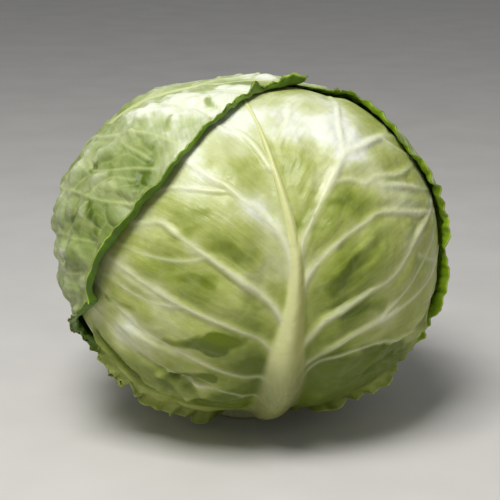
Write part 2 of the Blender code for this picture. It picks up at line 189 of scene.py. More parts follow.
def outline(leaf):
    last = len(leaf["rows"]) - 1
    ladder = np.linspace(0.0, last, last * 6 + 1)
    across = np.linspace(0.0, 1.0, 12, endpoint=False)
    return np.vstack([
        sideCurve(leaf, np.zeros_like(across), across, 1),
        sideCurve(leaf, ladder, np.ones_like(ladder), 1),
        sideCurve(leaf, np.full_like(across, last), 1 - across, 1)[1:],
        sideCurve(leaf, np.full_like(across, last), across, -1),
        sideCurve(leaf, ladder[::-1], np.ones_like(ladder), -1),
        sideCurve(leaf, np.zeros_like(across), 1 - across, -1)[1:],
    ])


def nearestOnLine(points, starts, ends):
    # distance, segment and share of it, for the nearest place on a chain of segments
    step = ends - starts
    length = np.maximum(np.sum(step * step, axis=-1), 1e-12)
    gaps, picks, parts = [], [], []
    for chunk in np.array_split(points, max(1, len(points) // 4000)):
        toPoint = chunk[:, None, :] - starts[None, :, :]
        part = np.clip(np.sum(toPoint * step, axis=-1) / length, 0.0, 1.0)
        gap = np.linalg.norm(toPoint - part[..., None] * step, axis=-1)
        pick = np.argmin(gap, axis=1)
        here = np.arange(len(chunk))
        gaps.append(gap[here, pick])
        picks.append(pick)
        parts.append(part[here, pick])
    return np.concatenate(gaps), np.concatenate(picks), np.concatenate(parts)


def insideOutline(angles, edge):
    x1, y1 = edge[:, 0], edge[:, 1]
    x2, y2 = np.roll(x1, -1), np.roll(y1, -1)
    rise = np.where(np.abs(y2 - y1) < 1e-9, 1e-9, y2 - y1)
    found = []
    for chunk in np.array_split(angles, max(1, len(angles) // 8000)):
        x, y = chunk[:, 0:1], chunk[:, 1:2]
        crosses = ((y1 > y) != (y2 > y)) & (x < x1 + (y - y1) * (x2 - x1) / rise)
        found.append(np.sum(crosses, axis=1) % 2 == 1)
    return np.concatenate(found)


def depthInLeaf(leaf, directions):
    # how far inside that leaf's outline each direction lies, in mm, negative outside
    edge = outline(leaf)
    edgeAt = toDirections(leaf["azimuth"], edge)
    radius = float(np.mean(head["radii"])) / mm
    high, wide = directions.shape[:2]
    rowPicks = np.unique(np.append(np.arange(0, high, 3), high - 1))
    colPicks = np.unique(np.append(np.arange(0, wide, 3), wide - 1))
    flat = directions[np.ix_(rowPicks, colPicks)].reshape(-1, 3)
    gap, _, _ = nearestOnLine(flat * radius, edgeAt * radius, np.roll(edgeAt, -1, 0) * radius)
    inside = insideOutline(toAngles(leaf["azimuth"], flat), edge)
    depth = np.where(inside, gap, -gap).reshape(len(rowPicks), len(colPicks))
    # measured at every third point, and filled in between
    depth = np.array([np.interp(np.arange(wide), colPicks, line) for line in depth])
    return np.array([np.interp(np.arange(high), rowPicks, line) for line in depth.T]).T


def ribHalfWidth(leaf, row):
    last = len(leaf["rows"]) - 1
    body = 1.0 - 0.72 * smooth(0.0, 0.85 * last, row)
    return leaf["rib"]["width"] * body * (1.0 - 0.6 * smooth(0.75 * last, last, row))


def leafGrid(leaf):
    # angles of a fine grid over the leaf, closer together at the midrib and at the edge
    rowCount, colCount = leaf["grid"]
    half = colCount // 2
    last = len(leaf["rows"]) - 1
    ladder = np.linspace(0.0, last, 40 * last + 1)
    places = [onHead(leaf["azimuth"], sideCurve(leaf, ladder, np.full_like(ladder, t), side))
              for side, t in ((-1, 1.0), (-1, 0.4), (1, 0.4), (1, 1.0))]
    steps = sum(np.linalg.norm(np.diff(place, axis=0), axis=1) for place in places)
    walked = np.concatenate([[0.0], np.cumsum(steps)])
    rows = np.interp(np.linspace(0.0, walked[-1], rowCount), walked, ladder)
    rowMm = np.linspace(0.0, walked[-1] / len(places) / mm, rowCount)
    share = np.linspace(0.0, 1.0, half + 1)
    share = 0.7 * share + 0.3 * (1.0 - np.cos(math.pi * share)) / 2.0
    samples = np.linspace(0.0, 1.0, 33)
    halves = []
    for side in (-1, 1):
        ladder = np.repeat(rows[:, None], len(samples), 1)
        curves = sideCurve(leaf, ladder, np.tile(samples, (rowCount, 1)), side)
        steps = np.linalg.norm(np.diff(onHead(leaf["azimuth"], curves), axis=1), axis=-1)
        walked = np.concatenate([np.zeros((rowCount, 1)), np.cumsum(steps, axis=1)], axis=1)
        where = np.array([np.interp(share * line[-1], line, samples) for line in walked])
        halves.append(sideCurve(leaf, np.repeat(rows[:, None], half + 1, 1), where, side))
    return rows, rowMm, np.concatenate([halves[0][:, :0:-1], halves[1]], axis=1)


def ownVeins(leaf, sides):
    # a vein along each row of that side, with three branches on its way to the edge
    last = len(leaf["rows"]) - 1
    t = np.linspace(0.0, 1.0, 13)
    veins = []
    for side in sides:
        for row in range(1, last):
            size = 1.0 - 0.45 * row / last
            line = sideCurve(leaf, np.full_like(t, row), t * 0.985, side)
            veins.append((line, 1.2 * size, 0.5, 1.5 * size))
            for start, reach in ((0.34, 0.42), (0.55, -0.4), (0.7, 0.3)):
                grow = np.linspace(0.0, 1.0, 8)
                rowAt = np.clip(row + reach * grow ** 0.8, 0.0, last)
                line = sideCurve(leaf, rowAt, start + (0.97 - start) * grow, side)
                veins.append((line, 0.6 * size, 0.35, 0.8 * size))
    return veins


def drawnVeins(leaf):
    veins = []
    for points, rootHalf, tipHalf, height in leaf.get("veins", []):
        place = np.linspace(0.0, len(points) - 1, 4 * len(points))
        veins.append((spline(points, place), rootHalf, tipHalf, height))
    return veins


def lineChain(leaf, lines):
    # all lines as segments in mm, with the half-width and the height of the ridge on each
    starts, ends, halves, heights = [], [], [], []
    for points, rootHalf, tipHalf, height in lines:
        at = onHead(leaf["azimuth"], points) / mm
        walk = np.linspace(0.0, 1.0, len(at))[:-1]
        starts.append(at[:-1])
        ends.append(at[1:])
        halves.append(rootHalf + (tipHalf - rootHalf) * walk ** 0.6)
        heights.append(height * (0.3 + 0.7 * (1.0 - walk) ** 0.6))
    return tuple(np.concatenate(parts) for parts in (starts, ends, halves, heights))


def lineField(flat, chain, sharpness):
    # the height of all ridges at each point, how much it belongs to a vein, how pale the blade
    # is beside one, and how far the nearest is in mm
    starts, ends, halves, heights = chain
    step = ends - starts
    length = np.maximum(np.sum(step * step, axis=-1), 1e-9)
    strength = np.clip(0.35 + 0.5 * halves, 0.0, 1.0)
    ridge, mask, halo, nearest = [], [], [], []
    for chunk in np.array_split(flat / mm, max(1, len(flat) // 2500)):
        toPoint = chunk[:, None, :] - starts[None, :, :]
        part = np.clip(np.sum(toPoint * step, axis=-1) / length, 0.0, 1.0)
        gap = np.linalg.norm(toPoint - part[..., None] * step, axis=-1)
        body = np.clip(1.0 - (gap / np.maximum(3.0 * halves, 1.6)) ** 2, 0.0, 1.0) ** sharpness
        ridge.append(np.max(heights * body, axis=1))
        mask.append(np.max(strength * np.exp(-(gap / np.maximum(1.3 * halves, 0.8)) ** 2), axis=1))
        halo.append(np.max(np.minimum(heights, 1.4) * np.exp(-(gap / 3.4) ** 2), axis=1))
        nearest.append(np.min(gap, axis=1))
    return tuple(np.concatenate(parts) for parts in (ridge, mask, halo, nearest))


# How near a grid point is to a vein, in cells, to move onto it, and the least share of a face that is left
snapping = {"within": 0.5, "leastFace": 0.25, "passes": 6}


def faceSteps(places, down, right):
    # the steps along the rows and the columns of the grid, at one corner of each face
    high, wide = places.shape[0] - 1, places.shape[1] - 1
    return np.diff(places, axis=0)[:, right:right + wide], np.diff(places, axis=1)[down:down + high]


def snapToLines(directions, chain):
    # grid points beside a vein move onto it, so that a thin ridge runs unbroken
    starts, ends = chain[0], chain[1]
    places = directions * headRadius(directions)[..., None] / mm
    across = (places[1:-1, 2:] - places[1:-1, :-2]).reshape(-1, 3) / 2
    along = (places[2:, 1:-1] - places[:-2, 1:-1]).reshape(-1, 3) / 2
    inside = places[1:-1, 1:-1].reshape(-1, 3)
    gap, pick, part = nearestOnLine(inside, starts, ends)
    foot = starts[pick] + part[:, None] * (ends - starts)[pick]
    sideways = unit(np.cross(inside, (ends - starts)[pick]))
    cell = np.maximum(np.abs(np.sum(across * sideways, 1)), np.abs(np.sum(along * sideways, 1)))
    close = np.zeros(places.shape[:2], dtype=bool)
    close[1:-1, 1:-1] = (gap < snapping["within"] * cell).reshape(places.shape[0] - 2, -1)
    moved = places.copy()
    moved[1:-1, 1:-1] = foot.reshape(places[1:-1, 1:-1].shape)
    rowStep, colStep = faceSteps(places, 0, 0)
    plain = np.linalg.norm(np.cross(colStep, rowStep), axis=-1)
    corners = ((0, 0), (0, 1), (1, 0), (1, 1))
    for _ in range(snapping["passes"]):
        # a point whose move would turn or squash a face beside it stays where it was
        snapped = np.where(close[..., None], moved, places)
        bad = np.zeros(close.shape, dtype=bool)
        for down, right in corners:
            rowStep, colStep = faceSteps(snapped, down, right)
            turned = np.sum(np.cross(colStep, rowStep) * unit(places[:-1, :-1]), axis=-1)
            poor = turned < snapping["leastFace"] * plain
            for y, x in corners:
                bad[y:, x:][:poor.shape[0], :poor.shape[1]] |= poor
        close &= ~bad
    return unit(np.where(close[..., None], moved, places))


# Where an edge rolls: its low part and its tip in rows, its right side and its corners in degrees across,
# and in mm how far from the root it is free, how deep a lobe reaches in, and how deep it is ragged.
# Its waves and crimps are uneven: each noise is (size in mm, share, seed).
edgeZones = {
    "low": (0.2, 1.4), "tip": (-3.0, -1.2), "right": (-10.0, 10.0), "corner": (34.0, 52.0),
    "free": (7.0, 22.0), "lobe": 5.0, "ragged": 4.0, "raggedSize": (5.0, 3), "steepest": 155.0,
    "secondWave": (0.5, 1.7, 1.3), "spreadFrom": 1.6, "beat": ((31.0, 4.5, 5), (11.0, 1.6, 6)),
    "secondBeat": (0.15, 2.3, 1.0), "unevenSize": (12.0, 9), "sway": (0.22, 2.0, 0.6),
}


def between(pair, share):
    return pair[0] + (pair[1] - pair[0]) * share


def alongEdge(leaf, directions):
    # the edge near each grid point: its distance, how far round it is, and the ways over and along it
    edgeAt = onHead(leaf["azimuth"], outline(leaf))
    ends = np.roll(edgeAt, -1, axis=0)
    flat = (directions * headRadius(directions)[..., None]).reshape(-1, 3)
    gap, pick, part = nearestOnLine(flat, edgeAt, ends)
    lengths = np.linalg.norm(ends - edgeAt, axis=1)
    walked = (np.cumsum(lengths) - lengths)[pick] + part * lengths[pick]
    outward = unit(np.cross(ends - edgeAt, edgeAt))
    away = unit((1 - part)[:, None] * outward[pick] + part[:, None] * np.roll(outward, -1, 0)[pick])
    return flat, gap, walked, lengths.sum(), away, unit(ends - edgeAt)[pick]


def edgeLift(edge, zones, lap, free):
    # how steeply the edge stands up, in radians: it waves, and eases at the corners and the tip
    low, right, tip, corner = zones
    lift = between((edge["lift"], between(edge["lowLift"], right)), low) * free
    lift = lift * (1.0 - edge["corner"] * low * corner)
    lift = lift * (1.0 - edge["tip"] * tip * (1.0 - right))
    phase = 2 * math.pi * edge["waves"] * lap
    share, speed, shift = edgeZones["secondWave"]
    wave = np.sin(phase) + share * np.sin(speed * phase + shift)
    lift = np.minimum(lift * (1.0 + edge["wave"] * wave), edgeZones["steepest"])
    return np.radians(np.maximum(lift, 0.1))


def edgeCrimp(crimp, along, lowSide, t, free):
    # fine crimps, deeper where the edge is low, and how far their folds sway along the edge
    beat = 2 * math.pi * along[:, 0] / (crimp["length"] * mm) + layered(along, edgeZones["beat"])
    depth = (crimp["height"] + crimp["low"] * lowSide) * mm
    share, speed, shift = edgeZones["secondBeat"]
    uneven = 0.75 + 0.5 * softNoise(along, *edgeZones["unevenSize"])
    ripple = depth * (np.sin(beat) + share * np.sin(speed * beat + shift)) * uneven * t ** 1.2 * free
    share, speed, shift = edgeZones["sway"]
    return ripple, share * depth * np.sin(speed * beat + shift) * t ** 1.5 * free


def rollEdge(leaf, rows, directions, places, amount):
    # rolls the edge outwards in waves, with lobes and crimps, and leaves it a little ragged
    edge = leaf["edge"]
    crimp = edge["crimp"]
    amount = amount.reshape(-1)
    wide = directions.shape[1]
    across = toAngles(leaf["azimuth"], directions.reshape(-1, 3))[:, 0]
    low = np.repeat(1.0 - smooth(*edgeZones["low"], rows), wide)
    tip = np.repeat(smooth(*edgeZones["tip"], rows - rows[-1]), wide)
    right = smooth(*edgeZones["right"], across)
    corner = smooth(*edgeZones["corner"], np.abs(across))
    flat, gap, walked, around, away, forward = alongEdge(leaf, directions)
    free = smooth(*edgeZones["free"], np.linalg.norm(flat - flat[wide // 2], axis=1) / mm) * amount
    tipShare = edge["tip"] * tip * (1.0 - 0.5 * right)
    reach = between((edge["reach"], between(edge["lowReach"], right)), low) * (1.0 - tipShare) * mm
    lift = edgeLift(edge, (low, right, tip, corner), walked / around, free)
    # a bend over the hinge's share of the reach, and a straight flange beyond it
    t = np.clip(1.0 - gap / reach, 0.0, 1.0)
    hinge = edge["hinge"]
    bent = np.minimum(t / hinge, 1.0)
    beyond = np.maximum(t - hinge, 0.0)
    rise = reach * (hinge * (1.0 - np.cos(lift * bent)) / lift + beyond * np.sin(lift))
    run = reach * (hinge * np.sin(lift * bent) / lift + beyond * np.cos(lift) - t)
    # the margin also reaches further out, nearly all of it before the flange
    spread = edge["spread"] + edge["lowSpread"] * low * (1.0 - right) * (1.0 - corner)
    nearEdge = smooth(0.0, 0.6, np.clip(1.0 - gap / (edgeZones["spreadFrom"] * reach), 0.0, 1.0))
    run = run + spread * (1.0 - tipShare) * mm * nearEdge * free
    for lobeAcross, lobeAlong, radius, grow, lean in leaf["lobes"]:
        off = np.linalg.norm(flat - onHead(leaf["azimuth"], (lobeAcross, lobeAlong)), axis=1) / mm
        bulge = mm * np.exp(-(off / radius) ** 2) * np.clip(1.0 - gap / (edgeZones["lobe"] * mm), 0.0, 1.0)
        rise = rise + grow * bulge
        run = run + lean * bulge
    along = np.stack([walked, 0 * walked, 0 * walked], axis=-1)
    lowSide = low * (1.0 - right * (1.0 - crimp["lowRight"]))
    ripple, sway = edgeCrimp(crimp, along, lowSide, t, free)
    ragged = crimp["ragged"] * mm * (0.5 + 0.5 * softNoise(along, *edgeZones["raggedSize"]))
    rim = np.clip(1.0 - gap / (edgeZones["ragged"] * mm), 0.0, 1.0) ** 1.5
    run = run - ragged * rim * smooth(0, 0.3, amount)
    radial = unit(places.reshape(-1, 3) - head["middle"])
    tilt = lift * bent
    normal = np.cos(tilt)[:, None] * radial - np.sin(tilt)[:, None] * away
    moved = places.reshape(-1, 3) + rise[:, None] * radial + run[:, None] * away
    moved = moved + ripple[:, None] * normal + sway[:, None] * forward
    return moved.reshape(places.shape), (gap / mm).reshape(places.shape[:2])


def gridNormals(places):
    return unit(np.cross(np.gradient(places, axis=1), np.gradient(places, axis=0)))


# The skin of a leaf, with sizes in mm and each noise as (size, share, seed)
skin = {
    "pucker": ((17.0, 0.6, 11), (8.0, 0.3, 12), (4.0, 0.1, 13)),
    "wrinkle": ((6.5, 1.0, 14), (3.4, 0.5, 15)), "wrinkleStretch": 3.2, "wrinklePatch": (22.0, 16),
    "cellWobble": (2.5, 9.0, 17), "cellSeed": 23, "netHalf": 1.1,
    "crinkle": ((9.0, 1.0, 21), (4.5, 0.4, 22)), "crinkleRest": 0.45,
    "veinSharpness": 1.6, "foldSharpness": 1.2, "foldFall": 2.6, "foldTip": 0.6,
    "tone": ((26.0, 0.45, 31), (11.0, 0.25, 32)), "spotWobble": (9.0, 41),
    "stainAndPaintedShadeWobble": (1.2, 5.0, 42), "stainAndPaintedShadeSharpness": 0.6, "stainAndPaintedShadeFall": 3.0,
}


def betweenLeaves(name, directions):
    # how far the leaves below lift it in mm, how free its face and its edge are, and how pressed it is
    step = layers["step"] * (1.0 - layers["topPress"] * smooth(0.8, 0.98, directions[..., 2]))
    lifted = np.full(directions.shape[:2], layers["gap"])
    for lower in leaves[name]["over"]:
        lifted = lifted + step * smooth(*layers["drape"], depthInLeaf(leaves[lower], directions))
    free = np.ones(directions.shape[:2])
    openEdge = np.ones(directions.shape[:2])
    for upper in leaves:
        if name in leaves[upper]["over"]:
            depth = depthInLeaf(leaves[upper], directions)
            free = free * (1.0 - smooth(*layers["drape"], depth))
            openEdge = openEdge * (1.0 - smooth(*layers["openEdge"], depth))
    return lifted, free, openEdge, step / layers["step"]


def strokeField(leaf, places, points, halves, height, sharpness):
    # how much one drawn stroke covers each place, from its first half-width to its last
    place = np.linspace(0.0, len(points) - 1, 5 * len(points))
    line = lineChain(leaf, [(spline(points, place), *halves, height)])
    return lineField(places, line, sharpness)[0]


def bladePuckers(leaf, flat, fromRib, offRib, alongMm, laneShare, nearest):
    # soft puckers, wrinkles that run out with the side veins, a net of cells, and crinkled places
    shape = fromRib.shape
    lane = np.stack([fromRib / skin["wrinkleStretch"], alongMm, 0.0 * fromRib], axis=-1) * mm
    wrinkle = sum(share * (0.5 - np.abs(softNoise(lane, size, seed))) for size, share,
                  seed in skin["wrinkle"])
    where = smooth(-0.1, 0.5, softNoise(flat, *skin["wrinklePatch"])).reshape(shape)
    pucker = leaf["pucker"] * layered(flat, skin["pucker"]).reshape(shape)
    pucker = pucker + leaf["wrinkle"] * wrinkle * where * smooth(3.0, 16.0, offRib) * laneShare
    cells = leaf["cells"]
    border = cellBorder(wobbled(flat, *skin["cellWobble"]), cells["size"], skin["cellSeed"]).reshape(shape)
    pucker = pucker + cells["puff"] * smooth(0.0, 0.45, border)
    pucker = pucker * smooth(0.0, 3.0, nearest) * smooth(-2.0, 5.0, offRib)
    net = np.exp(-(border * cells["size"] / skin["netHalf"]) ** 2)
    net = net * smooth(1.0, 3.0, nearest) * smooth(0.0, 3.0, offRib)
    for across, along, radius, amount in leaf["crinkles"]:
        off = np.linalg.norm(flat - onHead(leaf["azimuth"], (across, along)), axis=1).reshape(shape) / mm
        fold = 1.0 - np.abs(layered(flat, skin["crinkle"])).reshape(shape)
        inside = 1.0 - smooth(0.3 * radius, radius, off)
        pucker = pucker + amount * (fold ** 2 - skin["crinkleRest"]) * inside
    return pucker, net


def bladeFolds(leaf, flat, shape):
    height = np.zeros(shape)
    for points, halfWidth, lift in leaf["folds"]:
        half = halfWidth / skin["foldFall"]
        body = strokeField(leaf, flat, points, (half, skin["foldTip"] * half), abs(lift),
                           skin["foldSharpness"])
        height = height + math.copysign(1.0, lift) * body.reshape(shape)
    return height


def leafTone(leaf, grid, flat, halo, reliefForPaintedShade):
    # how pale each place is: paler beside the veins, with painted light higher up and on what stands out,
    # and painted shade lower down and in the hollows
    shape = halo.shape
    # painted light and shade: paler towards the top, where the light from above falls, and darker towards
    # the bottom
    tone = layered(flat, skin["tone"]).reshape(shape) + leaf["paintedLightByHeight"] * (grid[..., 1] - 100.0) / 60.0
    # painted shade in the hollows of the puckers and folds, and painted light on what stands out
    tone = tone + leaf["halo"] * halo + leaf["paintedHollowShade"] * reliefForPaintedShade
    wobble = softNoise(flat, *skin["spotWobble"]).reshape(shape)
    for across, along, radius, amount in leaf["spots"]:
        off = np.hypot((grid[..., 0] - across) * np.cos(np.radians(grid[..., 0])), grid[..., 1] - along)
        tone = tone + amount * (1.0 - smooth(0.2 * radius, radius, off + 0.25 * radius * wobble))
    wobbly = wobbled(flat, *skin["stainAndPaintedShadeWobble"])
    # deeper strokes: stains, and painted shade in some hollows and grooves
    for points, rootHalf, tipHalf, amount in leaf["stainsAndPaintedShade"]:
        halves = (rootHalf / skin["stainAndPaintedShadeFall"], tipHalf / skin["stainAndPaintedShadeFall"])
        body = strokeField(leaf, wobbly, points, halves, 1.0, skin["stainAndPaintedShadeSharpness"])
        tone = tone + amount * body.reshape(shape)
    return tone


def restOnFloor(inner):
    # nothing sinks below the floor: what would is pressed flat upon it
    least = layers["floor"]
    low = np.minimum(inner[..., 2] / mm - 2 * least, 0.0)
    inner[..., 2] = np.where(low < 0, (2 * least + least * np.tanh(low / least)) * mm, inner[..., 2])


def leafShape(name):
    # the inner face of a leaf, the thickness over it, and what its finish needs to know
    leaf = leaves[name]
    rows, rowMm, grid = leafGrid(leaf)
    chain = lineChain(leaf, drawnVeins(leaf) + ownVeins(leaf, leaf["autoVeins"]))
    directions = snapToLines(toDirections(leaf["azimuth"], grid), chain)
    grid = toAngles(leaf["azimuth"], directions)
    lifted, free, openEdge, pressed = betweenLeaves(name, directions)
    base = directions * (headRadius(directions) + lifted * mm)[..., None] + head["middle"]
    flat = (directions * headRadius(directions)[..., None]).reshape(-1, 3)
    shape = directions.shape[:2]
    lines = lineField(flat, chain, skin["veinSharpness"])
    ridge, mask, halo, nearest = (part.reshape(shape) for part in lines)
    middle = shape[1] // 2
    fromRib = np.linalg.norm(base - base[:, middle:middle + 1], axis=-1) / mm
    half = ribHalfWidth(leaf, rows)[:, None]
    offRib = fromRib - half
    alongMm = np.repeat(rowMm[:, None], shape[1], 1)
    # the lanes between the side veins narrow towards the midrib and the tip, and carry less there
    apart = np.linalg.norm(np.gradient(base, axis=0), axis=-1) / mm / (rowMm[1] - rowMm[0])
    laneShare = smooth(0.35, 0.85, apart) * smooth(1.0, 10.0, offRib)
    # the blade puffs up between the veins, puckers and folds
    puff = smooth(0.5, 9.0, nearest) * smooth(4.0, 22.0, fromRib) * leaf["puff"]
    pucker, net = bladePuckers(leaf, flat, fromRib, offRib, alongMm, laneShare, nearest)
    folds = bladeFolds(leaf, flat, shape)
    swelling = (puff + pucker + folds) * free * pressed
    inner = base + directions * (swelling * mm)[..., None]
    inner, gap = rollEdge(leaf, rows, directions, inner, openEdge)
    # the midrib and the veins stand out on the outer face only
    ribHeight = leaf["rib"]["height"] * (half / leaf["rib"]["width"]) ** 1.25
    body = np.clip(1.0 - (fromRib / half) ** 2, 0.0, 1.0)
    rib = ribHeight * body ** 1.3 * smooth(-0.2, 0.5, rows)[:, None]
    relief = (rib ** 4 + ridge ** 4) ** 0.25
    relief = relief * free + np.minimum(relief, layers["pressed"]) * (1.0 - free)
    blade = layers["blade"] * (0.65 + 0.35 * smooth(0.0, 3.0, gap))
    inner = inner - gridNormals(inner) * (blade / 2 * mm)[..., None]
    restOnFloor(inner)
    # low on the leaf the side veins sink in beside the midrib
    sunk = (1.0 - smooth(2.0, 26.0, offRib)) * (1.0 - smooth(0.3, 0.55, rows / rows[-1]))[:, None]
    mask = np.maximum(mask, leaf["cells"]["share"] * net) * (1.0 - 0.5 * sunk)
    relief = relief * (1.0 - 0.4 * sunk * (1.0 - body))
    side = np.where(np.arange(shape[1]) < middle, -1.0, 1.0) * np.minimum(fromRib / half, 1.0)
    tone = leafTone(leaf, grid, flat, halo, pucker + folds - np.mean(pucker))
    finish = {"vein": mask * (0.5 + 0.5 * free), "rib": np.clip(1.25 * body, 0.0, 1.0), "edgeGap": gap,
              "tone": tone, "alongRib": np.repeat(rows[:, None] / rows[-1], shape[1], 1),
              "acrossMm": fromRib, "alongMm": alongMm, "lane": laneShare, "ribSide": side}
    return inner, blade + relief, finish


def deselectAll():
    bpy.ops.object.select_all(action="DESELECT")


def makeLeaf(name):
    inner, thickness, finish = leafShape(name)
    high, wide = inner.shape[:2]
    deselectAll()
    bpy.ops.mesh.primitive_grid_add(x_subdivisions=wide - 1, y_subdivisions=high - 1, size=1.0)
    leafObject = bpy.context.object
    leafObject.name = leaves[name]["piece"]
    mesh = leafObject.data
    spots = np.empty(len(mesh.vertices) * 3)
    mesh.vertices.foreach_get("co", spots)
    spots = spots.reshape(-1, 3)
    column = np.rint((spots[:, 0] + 0.5) * (wide - 1)).astype(int)
    row = np.rint((spots[:, 1] + 0.5) * (high - 1)).astype(int)
    mesh.vertices.foreach_set("co", inner[row, column].reshape(-1))
    for key, values in finish.items():
        layer = mesh.attributes.new(key, "FLOAT", "POINT")
        layer.data.foreach_set("value", np.ascontiguousarray(values[row, column]))
    most = float(thickness.max())
    wallGroup = leafObject.vertex_groups.new(name="wall")
    for index, share in enumerate(thickness[row, column] / most):
        wallGroup.add((index,), share, "REPLACE")
    outerFinish, innerFinish = leafFinish(name)
    mesh.materials.append(outerFinish)
    mesh.materials.append(innerFinish)
    wall = leafObject.modifiers.new("wall", "SOLIDIFY")
    wall.thickness = most * mm
    wall.offset = 1.0
    wall.vertex_group = "wall"
    wall.material_offset = 1
    wall.material_offset_rim = 0
    bpy.ops.object.modifier_apply(modifier="wall")
    bpy.ops.object.shade_smooth()
    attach(leafObject, "root")
    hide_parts(name)
    print(name, "made")
    return leafObject


def colour(code):
    # an sRGB hex value as the linear colour that a shader takes
    parts = [int(code[place:place + 2], 16) / 255 for place in (1, 3, 5)]
    linear = [p / 12.92 if p <= 0.04045 else ((p + 0.055) / 1.055) ** 2.4 for p in parts]
    return (*linear, 1.0)


def addNode(tree, kind, inputs, **settings):
    # a node with its settings; an input takes a value, a socket, or a node's first live output
    made = tree.nodes.new(kind)
    for key, value in settings.items():
        setattr(made, key, value)
    for key, value in inputs.items():
        if isinstance(value, bpy.types.Node):
            value = next(output for output in value.outputs if output.enabled)
        if isinstance(value, bpy.types.NodeSocket):
            tree.links.new(value, made.inputs[key])
        else:
            made.inputs[key].default_value = value
    return made


def newMaterial(name, values):
    material = bpy.data.materials.new(name)
    material.use_nodes = True
    tree = material.node_tree
    shader = tree.nodes["Principled BSDF"]
    for key, value in values.items():
        shader.inputs[key].default_value = value
    return material, tree, shader


# What the finish of a leaf reads at each point of its mesh
leafReadings = ("vein", "rib", "ribSide", "edgeGap", "tone", "alongRib", "acrossMm", "alongMm", "lane")

# The waxy cuticle of a white cabbage leaf: smooth, a little translucent, and clouded by a thin
# bloom of wax, so it has a soft sheen that breaks up into streaks along the side veins.
# Each pattern is (size in mm, detail), and the streaks are (length, width) in mm.
waxy = {
    "patterns": {"cloud": (18.0, 3.0), "blotch": (4.0, 4.0), "ragged": (5.0, 2.0), "sheen": (7.0, 4.0),
                 "wrinkle": (4.5, 2.0), "grain": (1.2, 2.0)},
    "cloudShare": 0.7, "blotchShare": 0.4, "contrast": 0.5, "streak": (15.0, 2.4), "fibre": 1.6,
    # painted shade on the midrib: its right half, away from the light, and darker still low down
    "ribSide": "#9c9c46", "ribSideLowPaintedShade": "#5c6026", "grainRelief": 0.12, "streakRelief": 0.85,
}


